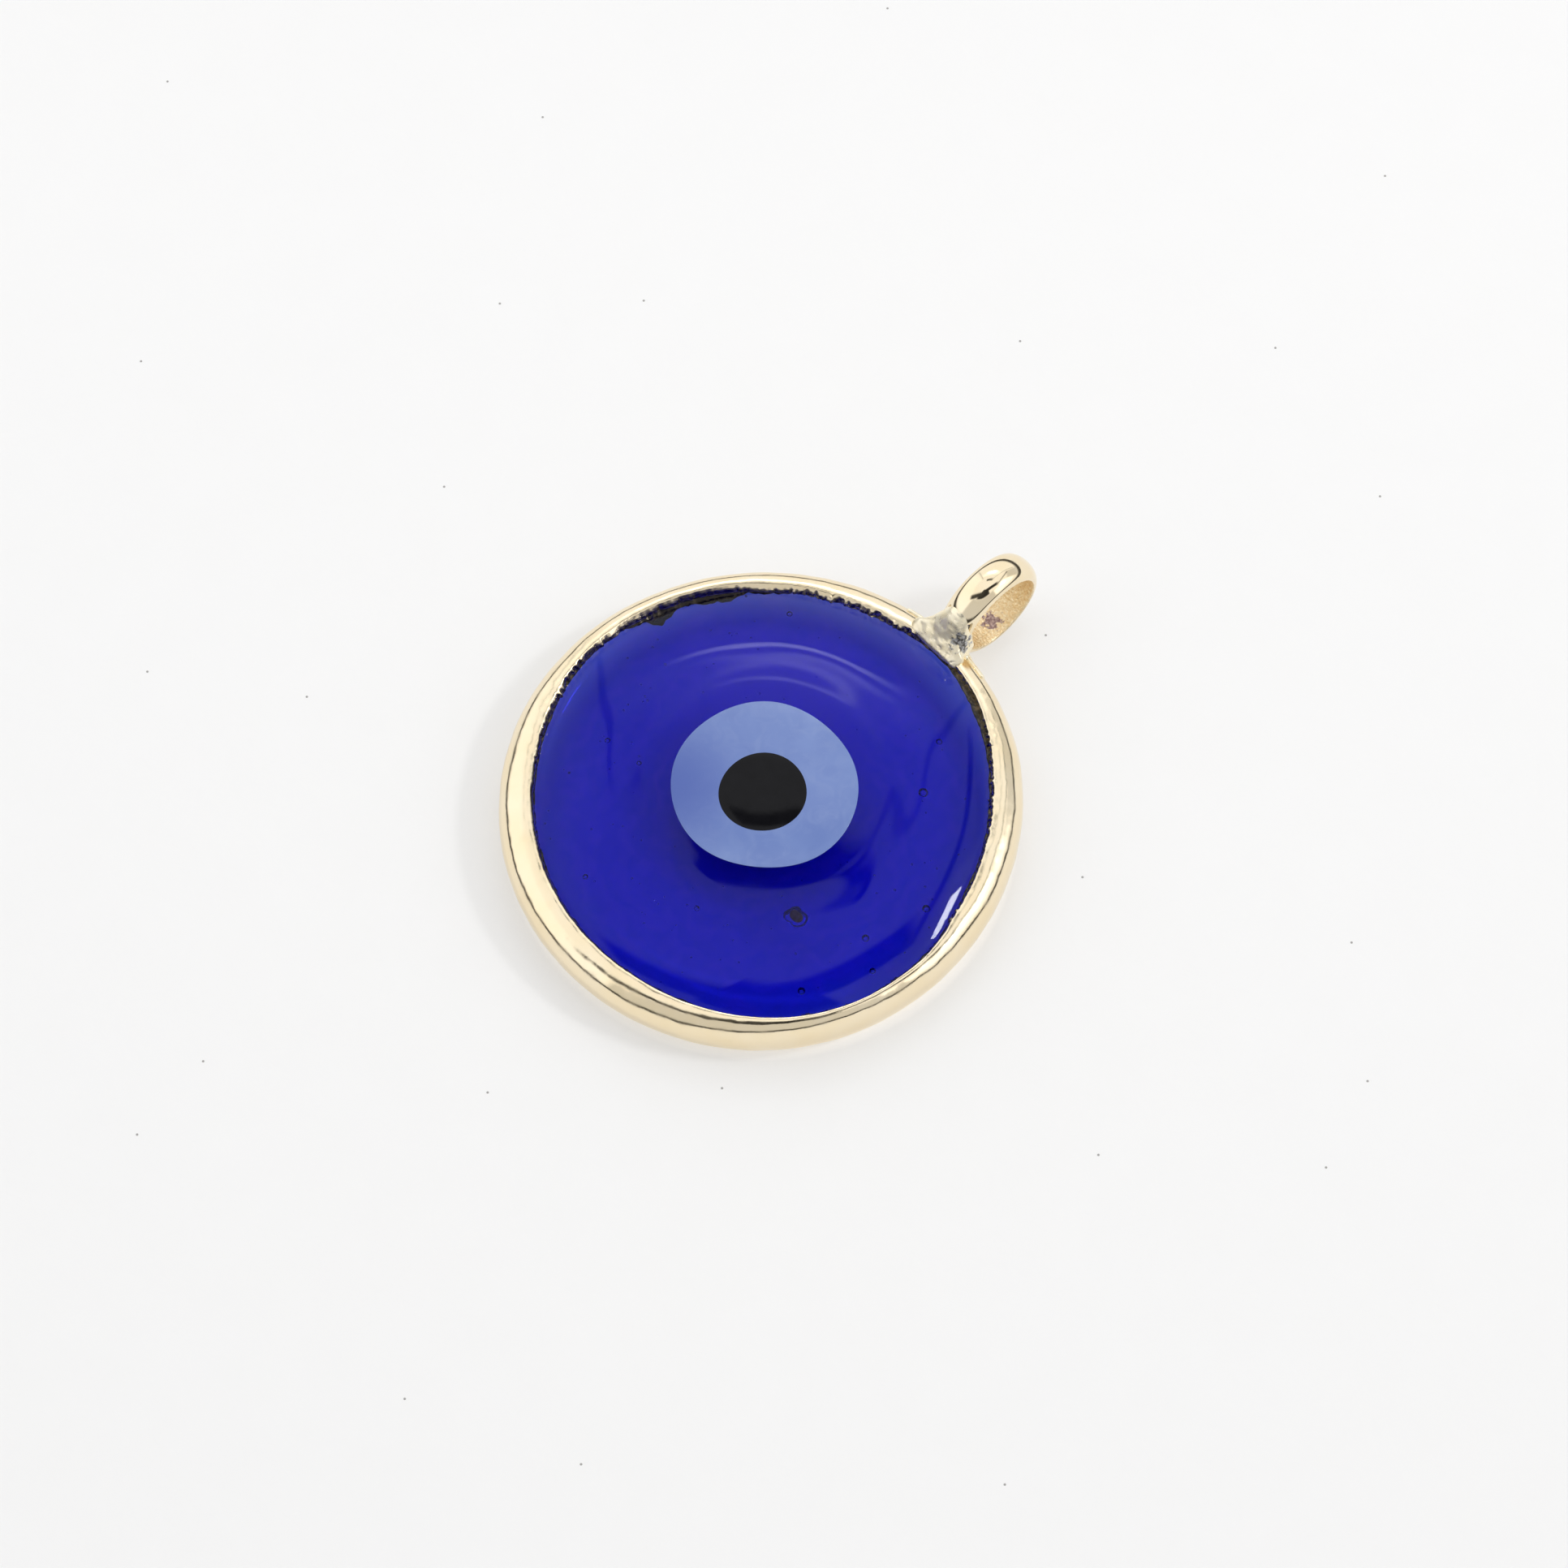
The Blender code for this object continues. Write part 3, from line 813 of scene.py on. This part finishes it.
def strip_mesh(grid):
    """A closed bar: a grid whose rows go round and whose columns end in caps."""
    rows, columns = grid.shape[:2]
    faces = []
    for row in range(rows):
        after = (row + 1) % rows
        for column in range(columns - 1):
            here = row * columns + column
            above = after * columns + column
            faces.append((here, here + 1, above + 1, above))
    faces.append([row * columns for row in range(rows)])
    faces.append([row * columns + columns - 1 for row in reversed(range(rows))])
    return grid.reshape(-1, 3), faces


# Materials


class NodeTree:
    """A few short calls for building nodes. A value is a number or another node's output."""

    def __init__(self, tree):
        self.tree = tree

    def new(self, kind):
        return self.tree.nodes.new(kind)

    def link(self, output, target):
        self.tree.links.new(output, target)

    def feed(self, value, socket):
        if isinstance(value, (int, float)):
            socket.default_value = value
        else:
            self.link(value, socket)

    def math(self, operation, first, second):
        node = self.new("ShaderNodeMath")
        node.operation = operation
        self.feed(first, node.inputs[0])
        self.feed(second, node.inputs[1])
        return node.outputs["Value"]

    def absolute(self, value):
        return self.math("ABSOLUTE", value, 0.0)

    def degrees(self, operation, value):
        """An inverse trigonometric function of a value, in degrees."""
        return self.math("DEGREES", self.math(operation, value, 0.0), 0.0)

    def dot(self, vector, axis):
        node = self.new("ShaderNodeVectorMath")
        node.operation = "DOT_PRODUCT"
        node.inputs[1].default_value = axis
        self.link(vector, node.inputs[0])
        return node.outputs["Value"]

    def wrap_degrees(self, value):
        node = self.new("ShaderNodeMath")
        node.operation = "WRAP"
        self.feed(value, node.inputs[0])
        node.inputs[1].default_value = 180.0
        node.inputs[2].default_value = -180.0
        return node.outputs["Value"]

    def spread(self, value, low, high, to_low=0.0, to_high=1.0, smooth=False):
        node = self.new("ShaderNodeMapRange")
        node.interpolation_type = "SMOOTHSTEP" if smooth else "LINEAR"
        node.inputs["From Min"].default_value = low
        node.inputs["From Max"].default_value = high
        node.inputs["To Min"].default_value = to_low
        node.inputs["To Max"].default_value = to_high
        self.link(value, node.inputs["Value"])
        return node.outputs["Result"]

    def border(self, value, half_width, soft):
        """1 inside a half width and 0 outside it."""
        return self.spread(value, half_width - soft / 2, half_width + soft / 2, 1.0, 0.0, smooth=True)

    def blend(self, share, first, second):
        node = self.new("ShaderNodeMix")
        self.feed(share, node.inputs[0])
        self.feed(first, node.inputs[2])
        self.feed(second, node.inputs[3])
        return node.outputs[0]


class Nodes(NodeTree):
    """One material's nodes, in the piece's own coordinates."""

    def __init__(self, name):
        self.material = bpy.data.materials.new(name)
        self.material.use_nodes = True
        super().__init__(self.material.node_tree)
        self.shader = self.tree.nodes["Principled BSDF"]
        self.place = self.new("ShaderNodeTexCoord").outputs["Object"]

    def set(self, **values):
        for name, value in values.items():
            self.shader.inputs[name.replace("_", " ")].default_value = value

    def noise(self, size, detail=3.0, roughness=0.5, distortion=0.0):
        node = self.new("ShaderNodeTexNoise")
        node.inputs["Scale"].default_value = 1.0 / size
        node.inputs["Detail"].default_value = detail
        node.inputs["Roughness"].default_value = roughness
        node.inputs["Distortion"].default_value = distortion
        self.link(self.place, node.inputs["Vector"])
        return node.outputs["Fac"]

    def clouds(self, size, **looks):
        """Soft patches, from 0 to 1."""
        return self.spread(self.noise(size, **looks), 0.35, 0.65)

    def drift(self, size, low, high, detail=3.0):
        """A value that wanders between two others."""
        return self.spread(self.noise(size, detail), 0.3, 0.7, low, high)

    def cells(self, size, dimensions="3D"):
        node = self.new("ShaderNodeTexVoronoi")
        node.voronoi_dimensions = dimensions
        node.inputs["Scale"].default_value = 1.0 / size
        self.link(self.place, node.inputs["Vector"])
        return node.outputs["Distance"]

    def mix(self, share, first, second):
        """Mixes two colours. The node's colour sockets are inputs 6 and 7, and output 2."""
        node = self.new("ShaderNodeMix")
        node.data_type = "RGBA"
        for index, value in ((0, share), (6, first), (7, second)):
            if isinstance(value, tuple):
                node.inputs[index].default_value = (*value, 1.0)
            else:
                self.link(value, node.inputs[index])
        return node.outputs[2]

    def distance(self, centre, flat_axis=(1.0, 1.0, 1.0)):
        """Distance from a place, or from an axis through it where flat_axis has a 0."""
        flat = self.new("ShaderNodeVectorMath")
        flat.operation = "MULTIPLY"
        flat.inputs[1].default_value = flat_axis
        self.link(self.place, flat.inputs[0])
        node = self.new("ShaderNodeVectorMath")
        node.operation = "DISTANCE"
        node.inputs[1].default_value = [part * keep for part, keep in zip(centre, flat_axis)]
        self.link(flat.outputs["Vector"], node.inputs[0])
        return node.outputs["Value"]

    def from_upright(self, centre):
        """Distance from the upright axis through a place."""
        return self.distance(centre, flat_axis=(1.0, 1.0, 0.0))

    def near(self, centre, radius, ragged=0.0, size=0.3 * MM):
        """1 near a place and 0 away from it, with a ragged border."""
        wander = self.drift(size, -ragged, ragged, detail=4.0)
        distance = self.math("SUBTRACT", self.distance(centre), wander)
        return self.spread(distance, radius * 0.85, radius * 1.15, 1.0, 0.0)

    def bump(self, height, distance, under=None):
        node = self.new("ShaderNodeBump")
        node.inputs["Distance"].default_value = distance
        node.inputs["Strength"].default_value = 1.0
        self.link(height, node.inputs["Height"])
        if under is not None:
            self.link(under, node.inputs["Normal"])
        return node.outputs["Normal"]

    def color(self, output):
        self.link(output, self.shader.inputs["Base Color"])

    def roughness(self, output):
        self.link(output, self.shader.inputs["Roughness"])

    def vary_roughness(self, low, high, size, detail=3.0):
        self.roughness(self.drift(size, low, high, detail))

    def normal(self, output):
        self.link(output, self.shader.inputs["Normal"])

    def dents(self, depth, size, detail=3.0, under=None):
        self.normal(self.bump(self.noise(size, detail), depth, under))


def glass_material():
    nodes = Nodes("cobalt_glass")
    nodes.set(Metallic=0.0, Roughness=0.01, IOR=1.5, Transmission_Weight=1.0)
    nodes.set(Specular_Tint=GLASS_GLOSS)
    clouds = nodes.clouds(3.5 * MM, detail=2.0, distortion=0.6)
    from_axis = nodes.from_upright((0.0, 0.0, 0.0))
    from_heart = nodes.from_upright(GLASS_HEART_PLACE)
    wander = nodes.drift(2.5 * MM, -1.2 * MM, 1.2 * MM, detail=2.0)
    from_heart = nodes.math("SUBTRACT", from_heart, wander)
    heart = nodes.spread(from_heart, 1.5 * MM, 6.5 * MM, 1.0, 0.0, smooth=True)
    from_axis = nodes.math("SUBTRACT", from_axis, wander)
    # Painted reflection: towards the edge the glass is tinted greener, standing in for the blue-grey
    # reflections near the rim
    edge = nodes.spread(from_axis, 7.6 * MM, 9.6 * MM, 0.0, 0.75, smooth=True)
    from_iris = nodes.from_upright(dot_centre("iris_dot"))
    turns = nodes.math("MULTIPLY", nodes.math("ADD", from_iris, wander), 2.0 * math.pi / SWIRL_LENGTH)
    swirls = nodes.spread(nodes.math("SINE", turns, 0.0), -0.4, 1.0, 0.0, SWIRL_SHARE)
    clear = nodes.mix(clouds, GLASS_BLUE, GLASS_BLUE_GREEN)
    plain = nodes.mix(swirls, clear, GLASS_SWIRL)
    purple = nodes.mix(heart, plain, GLASS_HEART)
    nodes.color(nodes.mix(edge, purple, GLASS_EDGE_PAINTED_REFLECTION))
    nodes.dents(0.002 * MM, 1.6 * MM, detail=1.0)
    absorption = nodes.new("ShaderNodeVolumeAbsorption")
    absorption.inputs["Color"].default_value = GLASS_DEPTHS
    absorption.inputs["Density"].default_value = GLASS_DENSITY
    output = nodes.tree.nodes["Material Output"]
    nodes.link(absorption.outputs["Volume"], output.inputs["Volume"])
    return nodes.material


def fleck_material():
    nodes = Nodes("brown_fleck")
    nodes.set(Metallic=0.0, Roughness=0.6)
    nodes.color(nodes.mix(nodes.clouds(0.08 * MM, detail=4.0), FLECK_DARK, FLECK_LIGHT))
    nodes.dents(0.01 * MM, 0.05 * MM)
    return nodes.material


def iris_material():
    nodes = Nodes("pale_blue_glass")
    nodes.set(Metallic=0.0, IOR=1.5, Specular_IOR_Level=0.25)
    milk = nodes.spread(nodes.noise(2.4 * MM, detail=2.0, distortion=0.8), 0.35, 0.7)
    wisps = nodes.spread(nodes.noise(0.8 * MM, detail=4.0, distortion=1.5), 0.45, 0.75, 0.0, 0.5)
    base = nodes.mix(milk, IRIS_BLUE, IRIS_MILKY)
    low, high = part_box("iris_dot")
    shaded_place = dot_centre("iris_dot") + flat_direction(IRIS_SHADED_SIDE) * (high.x - low.x) / 2
    # Painted shade: the pale dot is drawn darker towards one side, fading out over most of its width
    from_shaded_side = nodes.from_upright(shaded_place)
    shade = nodes.spread(from_shaded_side, 0.2 * MM, 4.4 * MM, 1.0, 0.0, smooth=True)
    cloudy = nodes.mix(wisps, base, IRIS_WISP)
    nodes.color(nodes.mix(shade, cloudy, IRIS_PAINTED_SHADE))
    nodes.vary_roughness(0.07, 0.14, 0.5 * MM)
    nodes.dents(0.004 * MM, 0.9 * MM, detail=2.0)
    return nodes.material


def pupil_material():
    nodes = Nodes("black_glass")
    nodes.set(Metallic=0.0, IOR=1.5, Specular_IOR_Level=0.15)
    nodes.color(nodes.mix(nodes.noise(0.6 * MM), PUPIL_DARK, PUPIL_LIGHT))
    nodes.vary_roughness(0.04, 0.09, 0.25 * MM)
    nodes.dents(0.0012 * MM, 0.35 * MM)
    return nodes.material


def paint_material():
    nodes = Nodes("dark_conductive_paint")
    clods = nodes.spread(nodes.noise(0.22 * MM, detail=5.0, roughness=0.65), 0.46, 0.66)
    fringe = nodes.mix(clods, PAINT_DARK, PAINT_BROWN)
    height = nodes.dot(nodes.place, (0.0, 0.0, 1.0))
    covered = nodes.spread(height, FRINGE_HEIGHT - 0.1 * MM, FRINGE_HEIGHT, 1.0, 0.0)
    burnt = nodes.near(CRESCENT_PLACE, CRESCENT_REACH, 0.8 * MM, 0.8 * MM)
    silvery = nodes.math("SUBTRACT", covered, burnt)
    charred = nodes.mix(burnt, fringe, PAINT_CHAR)
    nodes.color(nodes.mix(silvery, charred, PAINT_SILVER))
    nodes.link(nodes.spread(clods, 0.2, 1.0, 0.0, 0.55), nodes.shader.inputs["Metallic"])
    nodes.vary_roughness(0.30, 0.60, 0.3 * MM)
    nodes.dents(0.02 * MM, 0.12 * MM, detail=4.0)
    return nodes.material


def edge_material():
    nodes = Nodes("gold_plated_edge")
    nodes.set(Metallic=1.0)
    base = nodes.mix(nodes.clouds(2.2 * MM), GOLD, GOLD_PALE)
    spots = nodes.spread(nodes.cells(0.9 * MM), 0.02, 0.06, 1.0, 0.0)
    sparse = nodes.spread(nodes.noise(1.1 * MM), 0.60, 0.64)
    tarnish = nodes.math("MULTIPLY", spots, sparse)
    nodes.color(nodes.mix(tarnish, base, GOLD_TARNISH))
    nodes.vary_roughness(0.09, 0.21, 0.8 * MM, detail=4.0)
    skin = nodes.bump(nodes.noise(0.55 * MM, detail=2.0), 0.006 * MM)
    nodes.dents(0.0010 * MM, 0.06 * MM, under=skin)
    return nodes.material


def ring_material():
    centre = ring_centre()
    nodes = Nodes("gold_plated_ring")
    nodes.set(Metallic=1.0)
    from_axis = nodes.distance(centre, flat_axis=(0.0, 1.0, 1.0))
    in_bore = nodes.spread(from_axis, RING_BORE_RADIUS + 0.03 * MM, RING_BORE_RADIUS + 0.06 * MM, 1.0, 0.0)
    outside = nodes.mix(nodes.clouds(1.5 * MM), GOLD, GOLD_PALE)
    grit = nodes.spread(nodes.noise(0.10 * MM, detail=4.0), 0.40, 0.62)
    inside = nodes.mix(grit, BORE_GOLD_DARK, BORE_GOLD_LIGHT)
    stain_place = (BORE_STAIN_SHIFT[0], centre.y + BORE_STAIN_SHIFT[1], BORE_STAIN_HEIGHT)
    bare = nodes.near(stain_place, BORE_STAIN_RADIUS, 0.24 * MM, 0.18 * MM)
    stain = nodes.mix(grit, BORE_STAIN_DARK, BORE_STAIN_LIGHT)
    patched = nodes.mix(bare, inside, stain)
    nodes.color(nodes.mix(in_bore, outside, patched))
    polish = nodes.drift(0.6 * MM, 0.06, 0.12)
    rough_bore = nodes.math("MULTIPLY", in_bore, nodes.drift(0.15 * MM, 0.25, 0.45))
    nodes.roughness(nodes.math("ADD", polish, rough_bore))
    grain_height = nodes.math("MULTIPLY", nodes.noise(0.09 * MM, detail=5.0), in_bore)
    skin = nodes.bump(nodes.noise(0.7 * MM, detail=1.0), 0.004 * MM)
    nodes.normal(nodes.bump(grain_height, 0.05 * MM, under=skin))
    return nodes.material


def solder_material():
    nodes = Nodes("gold_plated_solder")
    base = nodes.mix(nodes.clouds(0.5 * MM, detail=4.0), SOLDER_GOLD, SOLDER_PALE)
    bare = nodes.near(NECK_BARE_PLACE, NECK_BARE_RADIUS, 0.30 * MM, 0.30 * MM)
    gaps = nodes.spread(nodes.noise(0.12 * MM, detail=4.0), 0.44, 0.56)
    silver = nodes.mix(gaps, BARE_DARK, BARE_LIGHT)
    streaks = nodes.mix(nodes.math("MULTIPLY", bare, 0.95), base, silver)
    folds = nodes.noise(0.28 * MM, detail=5.0, roughness=0.7, distortion=1.2)
    cracks = nodes.spread(folds, 0.60, 0.66)
    # Darker crack lines, only near the top of the neck
    near_top = nodes.near(NECK_CRACKS_PLACE, NECK_CRACKS_RADIUS, 0.3 * MM)
    dark_cracks = nodes.math("MULTIPLY", nodes.math("MULTIPLY", cracks, near_top), 0.25)
    nodes.color(nodes.mix(dark_cracks, streaks, SOLDER_CRACK_DARK))
    nodes.link(nodes.blend(bare, 0.86, 0.92), nodes.shader.inputs["Metallic"])
    nodes.vary_roughness(0.24, 0.38, 0.2 * MM, detail=4.0)
    skin = nodes.bump(nodes.noise(0.22 * MM, detail=2.0), 0.006 * MM)
    nodes.dents(0.002 * MM, 0.05 * MM, under=skin)
    return nodes.material


def paper_material():
    nodes = Nodes("pale_paper")
    nodes.set(Metallic=0.0, Roughness=1.0, Specular_IOR_Level=0.0)
    mottle = nodes.noise(2.5 * MM, detail=5.0)
    dust = nodes.spread(nodes.cells(DUST_SPACING, "2D"), DUST_SIZE * 0.6, DUST_SIZE, 1.0, 0.0)
    from_axis = nodes.from_upright((0.0, 0.0, 0.0))
    # Beyond the charm the paper's own colour is dimmed, since the painted glow below makes up part of its
    # brightness
    dimmed_for_glow = nodes.spread(from_axis, EDGE_RADIUS - 0.8 * MM, EDGE_RADIUS)
    open_paper = nodes.mix(mottle, PAPER_DULL, PAPER_CLEAN)
    sheet = nodes.mix(dimmed_for_glow, PAPER_UNDER_CHARM, open_paper)
    nodes.color(nodes.mix(dust, sheet, PAPER_DUST))
    # Painted light: the paper glows, from under the charm's edge outwards and more towards one side,
    # lightening the shade under and round the charm
    glow = nodes.spread(from_axis, EDGE_RADIUS - 2.2 * MM, EDGE_RADIUS - 0.4 * MM)
    toward_glow_side = nodes.dot(nodes.place, flat_direction(PAPER_PAINTED_GLOW_SIDE))
    glow_level = nodes.spread(toward_glow_side, -30.0 * MM, 30.0 * MM, PAPER_GLOW_LOW, PAPER_GLOW_HIGH)
    clean = nodes.math("SUBTRACT", 1.0, nodes.math("MULTIPLY", dust, 0.5))
    glow = nodes.math("MULTIPLY", nodes.math("MULTIPLY", glow, glow_level), clean)
    nodes.link(glow, nodes.shader.inputs["Emission Strength"])
    nodes.set(Emission_Color=WHITE)
    nodes.dents(0.012 * MM, 0.5 * MM, detail=4.0)
    return nodes.material


# Studio


def camera_axes():
    a = CAMERA_AZIMUTH
    e = CAMERA_ELEVATION
    forward = Vector((-math.sin(a) * math.cos(e), math.cos(a) * math.cos(e), -math.sin(e)))
    right = Vector((math.cos(a), math.sin(a), 0.0))
    return forward, right, right.cross(forward)


def make_camera():
    forward, right, up = camera_axes()
    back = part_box("glass_disc")[0].z
    target = Vector((0.0, 0.0, back + WIDEST_HEIGHT)) + right * AIM_RIGHT + up * AIM_UP
    data = bpy.data.cameras.new("camera")
    data.sensor_width = SENSOR_WIDTH
    data.lens = LENS
    data.clip_start = 0.01
    data.clip_end = 50.0
    camera = new_object("camera", data)
    camera.location = target - forward * CAMERA_DISTANCE
    camera.rotation_euler = forward.to_track_quat("-Z", "Y").to_euler()
    bpy.context.scene.camera = camera


def flat_direction(degrees):
    """Direction in the plane of the paper, round +Z from +X."""
    turn = math.radians(degrees)
    return Vector((math.cos(turn), math.sin(turn), 0.0))


def tent_direction(azimuth, elevation):
    """World direction of a place in the tent, given in degrees from the camera's own view."""
    turn = CAMERA_AZIMUTH - math.radians(azimuth)
    rise = math.radians(elevation)
    return Vector((-math.sin(turn) * math.cos(rise), math.cos(turn) * math.cos(rise), math.sin(rise)))


def make_softbox(name, left, right, bottom, top, brightness):
    toward = tent_direction((left + right) / 2, (bottom + top) / 2)
    rise = math.radians((bottom + top) / 2)
    width = 2.0 * LIGHT_DISTANCE * math.cos(rise) * math.tan(math.radians(right - left) / 2)
    height = 2.0 * LIGHT_DISTANCE * math.tan(math.radians(top - bottom) / 2)
    data = bpy.data.lights.new(name, "AREA")
    data.shape = "RECTANGLE"
    data.size = width
    data.size_y = height
    data.energy = brightness * AREA_LIGHT_FACTOR * width * height
    light = new_object(name, data)
    light.location = toward * LIGHT_DISTANCE
    light.rotation_euler = (-toward).to_track_quat("-Z", "Y").to_euler()
    light.visible_camera = False


def make_world():
    """A light tent of one brightness, with patches of others, and a pale backdrop behind the charm."""
    world = bpy.data.worlds.new("studio")
    world.use_nodes = True
    nodes = NodeTree(world.node_tree)
    direction = nodes.new("ShaderNodeTexCoord").outputs["Generated"]
    _, right, _ = camera_axes()
    ahead = Vector((-right.y, right.x, 0.0))
    across = nodes.dot(direction, right)
    along = nodes.dot(direction, ahead)
    rise = nodes.dot(direction, Vector((0.0, 0.0, 1.0)))
    azimuth = nodes.math("DEGREES", nodes.math("ARCTAN2", across, along), 0.0)
    elevation = nodes.degrees("ARCSINE", rise)
    light = TENT_LIGHT
    for _, left, right_side, bottom, top, soft, brightness in TENT_PATCHES:
        beside = nodes.math("SUBTRACT", azimuth, (left + right_side) / 2)
        beside = nodes.absolute(nodes.wrap_degrees(beside))
        above = nodes.absolute(nodes.math("SUBTRACT", elevation, (bottom + top) / 2))
        beside = nodes.border(beside, (right_side - left) / 2, soft)
        above = nodes.border(above, (top - bottom) / 2, soft)
        light = nodes.blend(nodes.math("MULTIPLY", beside, above), light, brightness)
    for _, start_side, start_rise, end_side, end_rise, half_width, soft, end_soft, brightness in TENT_BANDS:
        start = tent_direction(start_side, start_rise)
        end = tent_direction(end_side, end_rise)
        off_band = nodes.dot(direction, start.cross(end).normalized())
        off_band = nodes.absolute(nodes.degrees("ARCSINE", off_band))
        from_middle = nodes.degrees("ARCCOSINE", nodes.dot(direction, (start + end).normalized()))
        half_length = math.degrees(start.angle(end)) / 2
        across_band = nodes.border(off_band, half_width, soft)
        along_band = nodes.border(from_middle, half_length, end_soft)
        light = nodes.blend(nodes.math("MULTIPLY", across_band, along_band), light, brightness)
    background = world.node_tree.nodes["Background"]
    background.inputs["Color"].default_value = WHITE
    nodes.link(light, background.inputs["Strength"])
    backdrop = nodes.new("ShaderNodeBackground")
    backdrop.inputs["Color"].default_value = BACKDROP
    path = nodes.new("ShaderNodeLightPath")
    mix = nodes.new("ShaderNodeMixShader")
    nodes.link(path.outputs["Is Camera Ray"], mix.inputs[0])
    nodes.link(background.outputs["Background"], mix.inputs[1])
    nodes.link(backdrop.outputs["Background"], mix.inputs[2])
    nodes.link(mix.outputs["Shader"], world.node_tree.nodes["World Output"].inputs["Surface"])
    bpy.context.scene.world = world


def make_floor():
    half = PAPER_SIZE / 2
    mesh = bpy.data.meshes.new("paper")
    corners = [(x, y, -PAPER_DROP) for x, y in ((-half, -half), (half, -half), (half, half), (-half, half))]
    mesh.from_pydata(corners, [], [(0, 1, 2, 3)])
    mesh.materials.append(paper_material())
    floor = new_object("paper", mesh)


def make_studio():
    make_camera()
    make_world()
    make_floor()
    make_softbox(*KEY_LAMP)
    view = bpy.context.scene.view_settings
    view.view_transform = "Standard"
    view.look = "None"
    view.exposure = 0.0


make_studio()
make_glass(glass_material())
make_fleck(fleck_material())
make_dots(iris_material(), pupil_material())
make_paint(paint_material())
make_metal_edge(edge_material())
make_ring(ring_material())
make_neck(solder_material())
